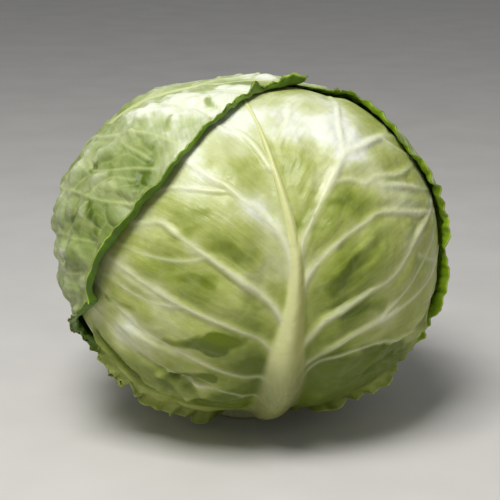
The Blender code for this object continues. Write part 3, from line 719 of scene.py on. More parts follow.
def waxyLeaf(name, look):
    material, tree, shader = newMaterial(name, {
        "IOR": 1.45, "Specular IOR Level": 0.38, "Subsurface Weight": look["glow"],
        "Subsurface Radius": (0.8, 0.9, 0.4), "Subsurface Scale": 0.0025,
        "Coat Weight": look["coat"], "Coat Roughness": 0.35})
    spot = addNode(tree, "ShaderNodeTexCoord", {}).outputs["Object"]
    told = {key: addNode(tree, "ShaderNodeAttribute", {}, attribute_name=key).outputs["Fac"]
            for key in leafReadings}
    noise = {key: addNode(tree, "ShaderNodeTexNoise",
                          {"Vector": spot, "Scale": 1000 / size, "Detail": detail})
             for key, (size, detail) in waxy["patterns"].items()}
    # streaks that run with the side veins
    lane = addNode(tree, "ShaderNodeCombineXYZ", {0: told["acrossMm"], 1: told["alongMm"]})
    lane = addNode(tree, "ShaderNodeMapping", {
        "Vector": lane, "Scale": (1 / waxy["streak"][0], 1 / waxy["streak"][1], 1.0)})
    streak = addNode(tree, "ShaderNodeTexNoise", {
        "Vector": lane, "Scale": 1.0, "Detail": 4.0, "Roughness": 0.6})
    streak = addNode(tree, "ShaderNodeMath", {0: streak, 1: 0.5}, operation="SUBTRACT")
    streak = addNode(tree, "ShaderNodeMath", {0: streak, 1: told["lane"]}, operation="MULTIPLY")
    # paler and deeper patches: clouds, blotches and the streaks
    # the tone read from the mesh carries the painted light and shade made with the leaf
    tone = told["tone"]
    for part, weight in ((noise["cloud"], waxy["cloudShare"]), (noise["blotch"], waxy["blotchShare"]),
                         (streak, look["streak"])):
        tone = addNode(tree, "ShaderNodeMath", {0: part, 1: weight, 2: tone}, operation="MULTIPLY_ADD")
    # both noises lie around a half, so half of their weights is taken off again
    start = 0.5 - waxy["contrast"] * 0.5 * (waxy["cloudShare"] + waxy["blotchShare"])
    place = addNode(tree, "ShaderNodeMath", {0: tone, 1: waxy["contrast"], 2: start},
                    operation="MULTIPLY_ADD", use_clamp=True)
    ramp = addNode(tree, "ShaderNodeValToRGB", {0: place})
    stops = ramp.color_ramp.elements
    stops[0].position, stops[0].color = 0.0, colour(look["deep"])
    stops[1].position, stops[1].color = 1.0, colour(look["pale"])
    for at, key in ((0.28, "green"), (0.52, "blade"), (0.78, "light")):
        stops.new(at).color = colour(look[key])
    # how much of each colour shows: between which two readings, and the share at either end
    ragged = addNode(tree, "ShaderNodeMath", {0: noise["ragged"], 1: 2.0, 2: told["edgeGap"]},
                     operation="MULTIPLY_ADD")
    ranges = {
        "upRib": (told["alongRib"], 0.12, 0.42, 0.0, 1.0),
        "ribSide": (told["ribSide"], -0.25, 0.45, 0.0, 0.8),
        "lowOnRib": (told["alongRib"], 0.6, 0.85, look["ribShare"], 0.0),
        "rib": (told["rib"], 0.05, 0.75, 0.0, 0.92),
        "edge": (ragged, 1.2, look["edgeWidth"], look["edgeShare"], 0.0),
        "rim": (told["edgeGap"], 0.1, 0.7, 0.9, 0.0),
    }
    share = {key: addNode(tree, "ShaderNodeMapRange", dict(enumerate(values)),
                          interpolation_type="SMOOTHSTEP")
             for key, values in ranges.items()}
    share["ribSide"] = addNode(tree, "ShaderNodeMath", {0: share["ribSide"], 1: share["lowOnRib"]},
                               operation="MULTIPLY")
    share["vein"] = addNode(tree, "ShaderNodeMath", {0: told["vein"], 1: look["veinShare"]},
                            operation="MULTIPLY", use_clamp=True)
    # painted shade on the midrib: it is darker low down and on its right side, away from the light, and its
    # long fibres are paler
    fibreSpot = addNode(tree, "ShaderNodeMapping", {"Vector": spot, "Scale": (1.0, 1.0, 0.1)})
    fibre = addNode(tree, "ShaderNodeTexNoise", {
        "Vector": fibreSpot, "Scale": 1000 / waxy["fibre"], "Detail": 2.0})
    share["fibre"] = addNode(tree, "ShaderNodeMapRange", {0: fibre, 1: 0.35, 2: 0.7, 3: 0.0, 4: 0.22})
    ribShade, sideShade = (
        addNode(tree, "ShaderNodeMix", {0: share["upRib"], 6: colour(low), 7: colour(up)}, data_type="RGBA")
        for low, up in ((look["ribLowPaintedShade"], look["ribUp"]), (waxy["ribSideLowPaintedShade"], waxy["ribSide"])))
    for key, tint in (("ribSide", sideShade), ("fibre", colour(look["light"]))):
        ribShade = addNode(tree, "ShaderNodeMix", {0: share[key], 6: ribShade, 7: tint}, data_type="RGBA")
    # over the blade come the veins, the midrib, the deeper green of the edge and its thin rim
    shade = ramp
    for key, tint in (("vein", colour(look["vein"])), ("rib", ribShade), ("edge", colour(look["edge"])),
                      ("rim", colour(look["rim"]))):
        shade = addNode(tree, "ShaderNodeMix", {0: share[key], 6: shade, 7: tint}, data_type="RGBA")
    tree.links.new(shade.outputs[2], shader.inputs["Base Color"])
    sheen = addNode(tree, "ShaderNodeMath", {0: noise["sheen"], 1: streak}, operation="ADD")
    gloss = addNode(tree, "ShaderNodeMapRange", {
        0: sheen, 1: 0.3, 2: 0.7, 3: look["rough"] - 0.08, 4: look["rough"] + 0.12})
    tree.links.new(gloss.outputs[0], shader.inputs["Roughness"])
    # fine wrinkles, grain and streaks as bump
    relief = noise["wrinkle"]
    for part, weight in ((noise["grain"], waxy["grainRelief"]), (streak, waxy["streakRelief"])):
        relief = addNode(tree, "ShaderNodeMath", {0: part, 1: weight, 2: relief}, operation="MULTIPLY_ADD")
    bump = addNode(tree, "ShaderNodeBump", {"Height": relief, "Strength": look["bump"], "Distance": 0.0008})
    tree.links.new(bump.outputs[0], shader.inputs["Normal"])
    return material


# Finishes: the outer faces are pale and waxy, the inner faces greener, smoother and without bloom
looks = {
    "front": {
        "deep": "#5b6b06", "green": "#869339", "blade": "#a6ae5e", "light": "#c3c896", "pale": "#e0e3d0",
        "vein": "#dcdeb6", "rim": "#c3cb6e", "ribLowPaintedShade": "#85884e", "ribUp": "#d2d494", "edge": "#7f9428",
        "edgeWidth": 5.0, "edgeShare": 0.4, "veinShare": 0.9, "streak": 0.55, "ribShare": 1.0,
        "rough": 0.42, "bump": 0.5, "glow": 0.1, "coat": 0.1},
    "insideFront": {
        "deep": "#76892a", "green": "#8fa03a", "blade": "#a5b254", "light": "#bfc97a", "pale": "#dbe0ac",
        "vein": "#cfd79a", "rim": "#d3dc8c", "ribLowPaintedShade": "#a9ac6c", "ribUp": "#c3ca90", "edge": "#a3b53e",
        "edgeWidth": 8.0, "edgeShare": 0.6, "veinShare": 0.6, "streak": 0.6, "ribShare": 0.0,
        "rough": 0.42, "bump": 0.5, "glow": 0.1, "coat": 0.08},
    "wrapper": {
        "deep": "#4f650c", "green": "#6f8138", "blade": "#869456", "light": "#adb788", "pale": "#dfe3cc",
        "vein": "#bfc886", "rim": "#627e1a", "ribLowPaintedShade": "#a9ac6c", "ribUp": "#c3ca90", "edge": "#83963f",
        "edgeWidth": 3.0, "edgeShare": 0.3, "veinShare": 0.85, "streak": 0.7, "ribShare": 0.3,
        "rough": 0.46, "bump": 0.6, "glow": 0.08, "coat": 0.06},
    # partly the inner face's own deeper green and partly painted shade, where the left leaf's rolled edge
    # shows it
    "inside": {
        "deep": "#304c02", "green": "#3d5c03", "blade": "#4a6c04", "light": "#5f8012", "pale": "#9ab554",
        "vein": "#8ea645", "rim": "#a9bd48", "ribLowPaintedShade": "#a9ac6c", "ribUp": "#a8b56a", "edge": "#4c6e04",
        "edgeWidth": 9.0, "edgeShare": 0.8, "veinShare": 0.5, "streak": 0.5, "ribShare": 0.0,
        "rough": 0.4, "bump": 0.5, "glow": 0.1, "coat": 0.1},
    # a lit copy of the inner face: its green painted brighter as light where the right leaf's rolled edge
    # catches it
    "insideRightPaintedLight": {
        "deep": "#55730c", "green": "#6b8b12", "blade": "#7c9c1a", "light": "#94b03c", "pale": "#b4c66e",
        "vein": "#a9c060", "rim": "#b3c64c", "ribLowPaintedShade": "#a9ac6c", "ribUp": "#a8b56a", "edge": "#7fa010",
        "edgeWidth": 9.0, "edgeShare": 0.8, "veinShare": 0.6, "streak": 0.5, "ribShare": 0.0,
        "rough": 0.4, "bump": 0.5, "glow": 0.15, "coat": 0.1},
    "inner": {
        "deep": "#8d9c46", "green": "#a7b265", "blade": "#bac282", "light": "#cfd3a5", "pale": "#e2e4c6",
        "vein": "#e3e4c4", "rim": "#c9d07e", "ribLowPaintedShade": "#b6ba80", "ribUp": "#cdd09c", "edge": "#8fa84a",
        "edgeWidth": 6.0, "edgeShare": 0.5, "veinShare": 0.8, "streak": 0.6, "ribShare": 0.0,
        "rough": 0.42, "bump": 0.4, "glow": 0.1, "coat": 0.08},
}
finishes = {}


def leafFinish(name):
    pair = []
    for key in (leaves[name]["look"], leaves[name]["inside"]):
        if key not in finishes:
            finishes[key] = waxyLeaf(key + " waxy leaf", looks[key])
        pair.append(finishes[key])
    return pair


# An edge that neither spreads nor eases off, and bends over its whole reach
plainEdge = {"spread": 0.0, "lowSpread": 0.0, "corner": 0.0, "hinge": 1.0, "tip": 0.0}

# What the two pressed leaves next to the heart share
pressedLeaf = {
    "over": (), "slot": "inner_leaf", "look": "inner", "inside": "inner", "grid": (110, 111),
    "rib": {"width": 10.0, "height": 3.0},
    "edge": {**plainEdge, "reach": 5.0, "lowReach": (6.0, 6.0), "lift": 20.0, "lowLift": (40.0, 40.0),
             "wave": 0.4, "waves": 9,
             "crimp": {"length": 9.0, "height": 0.2, "low": 0.0, "lowRight": 1.0, "ragged": 0.8}},
    "autoVeins": (-1, 1), "puff": 0.3, "pucker": 0.3, "wrinkle": 0.2, "paintedLightByHeight": 0.1, "halo": 0.1,
    "paintedHollowShade": 0.1, "cells": {"size": 12.0, "puff": 0.2, "share": 0.1},
    "lobes": [], "folds": [], "crinkles": [], "spots": [], "stainsAndPaintedShade": [],
}

# The leaves from the innermost to the outermost, at their azimuths (0 faces -Y, 90 faces +X).
# Each row follows a side vein: its root, then the bend and the end of its left and right half.
leaves = {
    "leaf_inner_left": {
        **pressedLeaf, "piece": "leafInnerLeft", "azimuth": -48.0,
        "rows": [
            ((0, 17), (-12, 16), (-28, 32), (12, 16), (28, 32)),
            ((0, 42), (-20, 42), (-40, 54), (20, 42), (40, 54)),
            ((0, 68), (-22, 74), (-46, 86), (22, 74), (46, 86)),
            ((1, 94), (-20, 108), (-42, 122), (22, 108), (43, 122)),
            ((1, 142), (-10, 148), (-21, 143), (12, 148), (22, 144)),
        ],
    },
    "leaf_inner_right": {
        **pressedLeaf, "piece": "leafInnerRight", "azimuth": 76.0,
        "rows": [
            ((0, 17), (-12, 16), (-29, 33), (12, 16), (28, 32)),
            ((0, 44), (-20, 44), (-41, 56), (20, 43), (40, 55)),
            ((0, 70), (-22, 75), (-47, 88), (22, 76), (45, 88)),
            ((-1, 95), (-22, 108), (-43, 121), (20, 109), (42, 123)),
            ((-1, 144), (-12, 149), (-22, 144), (10, 149), (21, 145)),
        ],
    },
    "leaf_rear": {
        "piece": "leafRear", "azimuth": -165.0, "over": (), "slot": "head_leaf",
        "look": "front", "inside": "inside", "grid": (190, 171),
        "rib": {"width": 11.5, "height": 5.5},
        "edge": {**plainEdge, "reach": 5.0, "lowReach": (7.0, 7.0), "lift": 35.0, "lowLift": (55.0, 55.0),
                 "wave": 0.5, "waves": 15,
                 "crimp": {"length": 8.5, "height": 0.6, "low": 1.0, "lowRight": 1.0, "ragged": 1.2}},
        "rows": [
            ((0, 17), (-13, 15), (-32, 35), (13, 15), (31, 34)),
            ((0, 44), (-22, 46), (-42, 60), (21, 45), (41, 58)),
            ((1, 64), (-23, 72), (-48, 86), (24, 71), (47, 84)),
            ((2, 84), (-22, 97), (-50, 114), (26, 96), (50, 112)),
            ((1, 106), (-17, 124), (-42, 141), (21, 123), (44, 139)),
            ((-1, 134), (-12, 150), (-25, 161), (10, 150), (26, 160)),
            ((-3, 170), (-8, 172), (-12, 169), (4, 172), (10, 169)),
        ],
        "autoVeins": (-1, 1), "puff": 1.0, "pucker": 1.9, "wrinkle": 1.4,
        "paintedLightByHeight": 0.25, "halo": 0.3, "paintedHollowShade": 0.12,
        "cells": {"size": 13.0, "puff": 0.8, "share": 0.2}, "lobes": [],
        "folds": [], "crinkles": [(-26, 50, 16, 1.0), (24, 48, 16, 1.0)],
        "spots": [(-20, 70, 12, -0.7), (24, 88, 12, -0.6), (-24, 112, 12, -0.5), (18, 125, 10, 0.4)],
        "stainsAndPaintedShade": [(((-12, 78), (-22, 80), (-30, 78)), 4.0, 1.5, -0.8),
                   (((26, 66), (18, 68)), 3.5, 1.5, -0.8)],
    },
    "leaf_front": {
        "piece": "leafFront", "azimuth": 11.0, "over": ("leaf_inner_left", "leaf_inner_right"),
        "slot": "head_leaf", "look": "front", "inside": "insideFront", "grid": (232, 211),
        "rib": {"width": 13.5, "height": 8.0},
        "edge": {"reach": 6.5, "lowReach": (10.0, 9.0), "lift": 42.0, "lowLift": (84.0, 62.0), "wave": 0.35,
                 "waves": 19, "spread": 0.0, "lowSpread": 2.0, "corner": 0.5, "hinge": 1.0, "tip": 0.0,
                 "crimp": {"length": 8.5, "height": 0.5, "low": 3.2, "lowRight": 0.5, "ragged": 1.0}},
        "rows": [
            ((0, 17), (-24, 12), (-57, 46), (15, 15), (46, 42)),
            ((2, 45), (-28, 42), (-69, 60), (20, 44), (56, 55)),
            ((2, 64), (-31, 61), (-71, 82), (28, 66), (68, 74)),
            ((2, 72), (-27, 84), (-67, 106), (35, 79), (71, 96)),
            ((3, 82), (-19, 103), (-60, 126), (32, 98), (69, 120)),
            ((4, 95), (-15, 115), (-51, 141), (27, 114), (62, 138)),
            ((3.5, 108), (-14, 120), (-40, 154), (18, 134), (50, 153)),
            ((-0.5, 131), (-10, 146), (-27, 166), (8, 154), (31, 168)),
            ((-6, 176), (-11, 176), (-17, 173), (0, 178), (12, 175)),
        ],
        "autoVeins": (), "puff": 1.0, "pucker": 1.8, "wrinkle": 1.5,
        "paintedLightByHeight": 0.4, "halo": 0.35, "paintedHollowShade": 0.12,
        "cells": {"size": 15.0, "puff": 0.4, "share": 0.06},
        "lobes": [(-10, 17, 6, 2.5, 3.0), (-18, 18, 5, 3.0, 3.5), (-27, 21, 4, 2.5, 2.0),
                  (-37, 27, 4, 0.0, 2.0)],
        # places along each vein, its half-width at the root and the tip, and its height in mm
        "veins": [
            (((0, 68), (-4, 75), (-11, 80), (-23, 85), (-33, 90), (-43, 97), (-52, 105), (-62, 118)), 1.15,
             0.54, 1.5),
            (((-2, 62), (-15, 65), (-27, 70), (-39, 75), (-45, 79), (-53, 86), (-66, 100)), 0.96, 0.48,
             1.1),
            (((2, 78), (-3, 88), (-15, 98), (-29, 110), (-34, 115), (-42, 117), (-56, 130)), 1.15, 0.48,
             1.4),
            (((4, 93), (3, 100), (0, 108), (-5, 114), (-10, 118), (-14, 123), (-19, 127), (-25, 135),
              (-30, 146), (-34, 156)),
             1.5, 0.60, 1.8),
            (((-12, 121), (-21, 123), (-30, 126), (-40, 128), (-50, 138)), 0.72, 0.36, 0.8),
            (((-1, 128), (-7, 141), (-12, 144), (-18, 150), (-24, 162)), 0.86, 0.42, 0.9),
            (((4, 93), (4.5, 101), (7.5, 109), (12, 117), (16, 124), (21, 132), (27, 136), (37, 145),
              (45, 152), (52, 157)),
             1.6, 0.60, 1.9),
            (((21, 132), (22, 144), (25, 158), (27, 170)), 0.86, 0.42, 0.9),
            (((37, 145), (41, 152), (43, 162)), 0.77, 0.42, 0.8),
            (((36, 144), (45, 143), (54, 147)), 0.7, 0.42, 0.7),
            (((4, 88), (8, 97), (18, 107), (25, 111), (30, 114), (42, 115), (49, 116), (62, 122)), 1.06,
             0.54, 1.2),
            (((4, 72), (8, 77), (14, 83), (24, 89), (35, 94), (44, 105), (53, 115), (61, 128), (65, 140)),
             1.4, 0.60, 1.6),
            (((15, 122.5), (21, 124), (26, 123), (30, 126), (37, 128), (42, 131), (49, 139), (54, 148)),
             0.6, 0.36, 0.6),
            (((31, 123), (41, 125), (52, 128), (61, 135)), 0.6, 0.36, 0.6),
            (((46, 99), (54, 95), (62, 93), (69, 95)), 0.5, 0.3, 0.5),
            (((54, 70), (60, 71), (65, 74)), 0.5, 0.3, 0.5),
            (((6, 66), (18, 75), (26, 78), (36, 80), (47, 83), (58, 88), (68, 98)), 1.10, 0.54, 1.2),
            (((30, 79), (44, 90), (56, 104), (64, 118)), 0.53, 0.36, 0.6),
            (((4, 56), (11, 67), (19, 70), (30, 70), (42, 66), (56, 66)), 0.86, 0.42, 0.9),
            (((0, 50), (-12, 54), (-26, 58), (-40, 64), (-54, 70), (-66, 80)), 0.77, 0.42, 0.7),
            (((-27, 87), (-40, 88), (-54, 96)), 0.53, 0.30, 0.5),
            (((-20, 103), (-30, 102), (-42, 106), (-56, 116)), 0.58, 0.30, 0.5),
            (((2, 139), (7, 146), (10, 156)), 0.58, 0.30, 0.5),
        ],
        # places along each fold, its half-width and its lift in mm: hollows are negative
        "folds": [
            (((-66, 60), (-54, 53), (-45, 46), (-34, 41), (-26, 36), (-16, 30)), 1.6, 2.4),
            (((-58, 58), (-48, 51), (-40, 46), (-32, 41), (-22, 36)), 2.0, -2.2),
            (((-34, 58), (-28, 53), (-26, 48), (-24, 42)), 2.4, 2.4),
            (((-23, 56), (-20, 51), (-16, 50), (-10, 52)), 3.2, 2.0),
            (((-31, 58), (-24, 59), (-17, 56)), 2.2, -2.2), (((-22, 46), (-16, 44), (-8, 46)), 3.0, -1.8),
            (((56, 56), (43, 67), (34, 67), (30, 65), (24, 60)), 1.8, 1.4),
            (((50, 52), (38, 61), (30, 59), (22, 55)), 2.4, -1.6),
            (((16, 60), (26, 57), (38, 55), (46, 48)), 1.6, 1.2),
            (((10, 133), (16, 131), (12, 127)), 1.2, -0.5),
        ],
        # across, along, radius in mm and how deep the crinkles are in mm
        "crinkles": [(34, 60, 22, 1.8), (-32, 48, 24, 2.2), (-55, 82, 14, 0.8), (16, 136, 12, 0.7)],
        # across, along, radius in degrees and how much paler or deeper in colour; the deep ones low beside
        # the midrib are painted shade, and the pale ones high up are partly the wax bloom and partly
        # painted highlight
        "spots": [
            (24, 84, 10, -0.25), (17, 95, 9, -0.3), (30, 66, 10, -0.7), (36, 61, 8, -0.7),
            (-15, 103, 11, -0.25),
            (8, 106, 7, -0.4), (-24, 92, 9, -0.3), (22, 117, 9, -0.3), (24, 100, 24, -0.2),
            (20, 79, 7, 0.35), (16, 114, 12, -0.3),
            (14, 76, 12, -0.2), (-10, 62, 12, -0.6), (-30, 56, 8, -0.4), (-10, 80, 8, -0.3),
            # painted shade over the low part of the leaf beside the midrib
            (16, 60, 14, -1.2),
            (30, 54, 16, -1.1), (-14, 48, 16, -1.0), (12, 46, 14, -0.9), (-8, 70, 8, -0.4),
            (8, 66, 8, -0.5),
            (-36, 100, 7, -0.3), (-40, 96, 11, 0.45), (-30, 82, 12, 0.3), (-44, 68, 12, 0.7),
            (58, 92, 12, 0.4),
            # partly painted highlight over the pale wax bloom at the top
            (-22, 124, 10, 0.5), (2, 150, 20, 0.55), (18, 140, 12, 0.5), (30, 138, 12, 0.4),
            (-14, 140, 12, 0.2),
            (-50, 78, 9, 0.35), (40, 104, 10, 0.3), (42, 122, 12, 0.35), (-6, 117, 7, 0.4),
        ],
        # places along each stain or streak of painted shade from its thick end, its half-widths in mm and
        # how much deeper it is
        "stainsAndPaintedShade": [
            (((-19, 76), (-24, 76), (-30, 74), (-35, 73)), 6.0, 1.2, -1.6),
            (((-19, 76), (-11, 77)), 6.0, 1.5, -1.0),
            # painted shadow in the hollow below the dark patch
            (((-19, 62), (-26, 61), (-31, 58)), 3.0, 1.2, -1.2),
            # painted shade along the groove beside the low fold
            (((-56, 55), (-44, 47), (-34, 42)), 1.6, 1.2, -0.4),
            (((-53, 85), (-48, 84), (-44, 83)), 2.2, 1.0, -0.8),
            (((38, 62), (32, 66), (25, 71)), 4.5, 2.0, -1.4),
            (((31, 84), (24, 85), (15, 83)), 4.0, 1.6, -0.6),
            (((14, 92), (18, 97), (22, 102)), 4.0, 1.6, -0.5),
            (((-8, 101), (-15, 105), (-22, 106)), 5.0, 2.0, -0.35),
            (((-20, 95), (-26, 97), (-32, 96)), 3.0, 1.0, -0.5),
            (((24, 57), (30, 56), (38, 52)), 3.0, 1.5, -1.0),
            (((6, 112), (12, 116), (20, 117)), 4.0, 1.5, -0.5), (((-26, 110), (-34, 108)), 3.0, 1.5, -0.4),
        ],
    },
    "leaf_right": {
        "piece": "leafRight", "azimuth": 138.0, "over": ("leaf_inner_right", "leaf_rear", "leaf_front"),
        "slot": "wrapper_leaf", "look": "wrapper", "inside": "insideRightPaintedLight", "grid": (205, 181),
        "rib": {"width": 12.5, "height": 6.5},
        "edge": {**plainEdge, "reach": 5.4, "lowReach": (6.0, 6.0), "lift": 52.0, "lowLift": (50.0, 50.0),
                 "wave": 0.5, "waves": 17,
                 "crimp": {"length": 8.0, "height": 0.9, "low": 0.9, "lowRight": 1.0, "ragged": 1.6}},
        "rows": [
            ((0, 17), (-15, 14), (-42, 34), (15, 14), (40, 38)),
            ((0, 42), (-24, 42), (-56, 51), (22, 44), (48, 60)),
            ((0, 60), (-29, 64), (-60, 68), (27, 68), (54, 84)),
            ((-1, 77), (-30, 84), (-60, 90), (28, 88), (56, 106)),
            ((-1, 94), (-28, 104), (-58, 112), (25, 110), (52, 129)),
            ((0, 112), (-24, 126), (-56, 134), (19, 132), (42, 147)),
            ((1, 132), (-17, 147), (-48, 154), (12, 152), (28, 161)),
            ((2, 168), (-11, 168), (-23, 164), (8, 170), (15, 167)),
        ],
        "autoVeins": (-1, 1), "puff": 1.3, "pucker": 2.4, "wrinkle": 1.6,
        "paintedLightByHeight": 0.3, "halo": 0.3, "paintedHollowShade": 0.14,
        "cells": {"size": 12.0, "puff": 1.1, "share": 0.3}, "lobes": [],
        "folds": [(((-30, 44), (-16, 50), (-4, 54)), 2.0, 1.2),
                  (((14, 56), (28, 52), (40, 54)), 2.0, -1.2)],
        "crinkles": [(-34, 48, 20, 1.5), (30, 50, 20, 1.4), (-40, 120, 16, 0.9)],
        "spots": [(-18, 66, 12, -0.8), (20, 78, 12, -0.7), (-30, 98, 10, -0.6), (22, 116, 10, -0.5),
                  (0, 150, 16, 0.5)],
        "stainsAndPaintedShade": [(((-14, 84), (-24, 88), (-30, 88)), 4.0, 1.5, -0.8),
                   (((28, 94), (20, 90)), 3.5, 1.5, -0.8)],
    },
    "leaf_left": {
        "piece": "leafLeft", "azimuth": -100.0,
        "over": ("leaf_inner_left", "leaf_rear", "leaf_front", "leaf_right"),
        "slot": "wrapper_leaf", "look": "wrapper", "inside": "inside", "grid": (240, 201),
        "rib": {"width": 13.0, "height": 7.0},
        "edge": {"reach": 4.3, "lowReach": (6.0, 6.0), "lift": 120.0, "lowLift": (85.0, 85.0), "wave": 0.08,
                 "waves": 19, "spread": 0.8, "lowSpread": 0.0, "corner": 0.0, "hinge": 0.3, "tip": 0.9,
                 "crimp": {"length": 8.0, "height": 0.4, "low": 0.9, "lowRight": 1.0, "ragged": 1.2}},
        "rows": [
            ((0, 17), (-15, 14), (-38, 36), (4, 15), (6, 32)),
            ((0, 44), (-23, 46), (-49, 60), (12, 50), (20, 58)),
            ((0, 62), (-27, 70), (-54, 84), (24, 66), (54, 77)),
            ((1, 80), (-28, 90), (-56, 106), (28, 84), (57.5, 89)),
            ((1, 97), (-26, 110), (-54, 127), (31, 104), (61, 109)),
            ((0, 113), (-22, 130), (-48, 145), (31, 124), (62, 126.5)),
            ((-1, 128), (-17, 148), (-39, 160), (27, 142), (60.5, 143)),
            ((-1, 143), (-11, 163), (-29, 173), (20, 159), (55.5, 160.5)),
            ((0, 162), (-8, 178), (-18, 184), (12, 177), (38.5, 177.5)),
            ((0, 200), (-5, 200), (-11, 195), (6, 198), (14, 190)),
        ],
        "autoVeins": (-1,), "puff": 1.4, "pucker": 2.6, "wrinkle": 1.6,
        "paintedLightByHeight": 0.3, "halo": 0.25, "paintedHollowShade": 0.2,
        "cells": {"size": 11.0, "puff": 1.3, "share": 0.35},
        # across, along, radius in mm, and how far the edge stands up and out there in mm
        "lobes": [(5, 198, 7, 4.5, 0.0), (-2, 201, 5, 3.0, 0.0), (18, 188, 2.6, 4.0, 0.0),
                  (9, 195, 1.8, 2.0, 0.0),
                  (54, 91, 5, 2.0, 0.0)],
        "veins": [
            (((1, 96), (15, 109), (29, 116), (42, 122), (50, 128), (56, 136)), 1.06, 0.54, 1.4),
            (((0, 112), (8, 126), (20, 133), (28, 141), (37, 153), (44, 163), (48, 170)), 0.96, 0.48, 1.3),
            (((20, 124), (27, 127), (35, 128), (42, 135), (47, 145), (50, 152)), 0.67, 0.36, 0.9),
            (((1, 78), (18, 87), (33, 89), (43, 91), (50, 94)), 0.86, 0.42, 1.0),
            (((1, 88), (22, 98), (33, 102), (43, 105), (53, 110)), 0.77, 0.42, 1.0),
            (((0, 140), (9, 150), (11, 162), (14, 175), (16, 184)), 0.86, 0.42, 1.0),
            (((0, 126), (10, 140), (20, 156), (29, 168), (36, 176)), 0.77, 0.42, 0.9),
            (((0, 62), (14, 69), (26, 74), (36, 77), (44, 80)), 0.77, 0.42, 0.9),
            (((0, 46), (8, 51), (16, 56), (24, 61)), 0.67, 0.36, 0.8),
            (((29, 116), (34, 126)), 0.43, 0.30, 0.7), (((42, 122), (44, 133), (50, 142)), 0.43, 0.30, 0.7),
            (((28, 141), (36, 143), (46, 151)), 0.43, 0.30, 0.6),
            (((36, 104), (40, 112), (43, 121)), 0.43, 0.30, 0.6),
            (((35, 92), (40, 100), (43, 106)), 0.43, 0.30, 0.6),
        ],
        "folds": [(((26, 150), (33, 146), (38, 147)), 1.6, 1.2),
                  (((34, 132), (38, 126), (45, 120)), 1.5, -1.0)],
        "crinkles": [(34, 132, 16, 1.8), (44, 104, 18, 2.0), (-30, 56, 20, 1.3), (28, 168, 16, 1.2)],
        "spots": [
            (50, 148, 10, -0.6), (42, 140, 10, -0.5), (42, 104, 14, -0.8), (25, 173, 5, -0.4),
            (36, 84, 14, -0.2),
            (56, 120, 12, -0.5), (46, 96, 8, -0.2), (34, 120, 8, -0.3), (24, 152, 10, 0.5),
            (28, 162, 14, 1.1), (16, 180, 14, 1.3),
            (-20, 70, 12, -0.7), (-26, 100, 10, -0.6),
        ],
        "stainsAndPaintedShade": [
            (((47, 118), (44, 121), (40, 122)), 3.0, 1.2, -1.2), (((38, 110), (40, 114)), 2.6, 1.4, -1.3),
            (((34, 127), (35, 132)), 1.8, 1.0, -1.1), (((52, 146), (47, 152), (42, 155)), 3.6, 1.5, -0.9),
            (((52, 114), (50, 119)), 2.0, 1.0, -0.8), (((25, 172), (28, 174)), 2.0, 1.0, -0.8),
            (((41, 94), (44, 97)), 1.6, 1.0, -1.0), (((35, 85), (37, 86)), 1.3, 0.9, -1.2),
            (((33, 161), (38, 160)), 2.0, 1.0, -0.6), (((44, 134), (40, 137)), 2.0, 1.0, -0.6),
        ],
    },
}

for leafName in leaves:
    makeLeaf(leafName)

# The heart: the tightly wrapped inner leaves as one ball, seen only through gaps
heartSet = {"segments": 144, "rings": 96, "wrapLift": 0.5, "patternRadius": 80.0, "hollows": (14.0, 51),
            "toneShare": 0.3, "tone": (20.0, 52), "edgeGap": 30.0}


def makeHeart():
    deselectAll()
    bpy.ops.mesh.primitive_uv_sphere_add(segments=heartSet["segments"], ring_count=heartSet["rings"],
                                         radius=1.0)
    heartObject = bpy.context.object
    heartObject.name = "heartBall"
    mesh = heartObject.data
    spots = np.empty(len(mesh.vertices) * 3)
    mesh.vertices.foreach_get("co", spots)
    directions = unit(spots.reshape(-1, 3))
    pattern = directions * heartSet["patternRadius"] * mm
    radius = headRadius(directions) - layers["inset"] * mm
    # shallow hollows only, so that the ball stays inside the leaves
    hollows = 0.5 + 0.5 * softNoise(pattern, *heartSet["hollows"])
    radius = radius - heartSet["wrapLift"] * mm * hollows
    mesh.vertices.foreach_set("co", (head["middle"] + directions * radius[:, None]).reshape(-1))
    # it has no veins and no edge, so most of what its finish reads is nothing
    given = {"tone": heartSet["toneShare"] * softNoise(pattern, *heartSet["tone"]),
             "alongMm": heartSet["patternRadius"] * directions[:, 2],
             "edgeGap": np.full(len(directions), heartSet["edgeGap"])}
    for key in leafReadings:
        layer = mesh.attributes.new(key, "FLOAT", "POINT")
        layer.data.foreach_set("value", given.get(key, np.zeros(len(directions))))
    mesh.materials.append(finishes["inner"])
    bpy.ops.object.shade_smooth()
    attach(heartObject, "root")
    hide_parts("heart")


makeHeart()
print("heart made")

# The stem: a short fibrous stump with a flat cut face
stemSet = {"cutRadius": 18.5, "topRadius": 20.6, "bevel": 1.2, "sides": 96, "cuts": 12, "scars": 7,
           "scarTwist": 5.0, "scarDepth": 0.9, "roughDepth": 0.35, "rough": (5.0, 61),
           "wobbleMm": 5.0, "patchMm": 3.0, "fibreMm": 1.4}


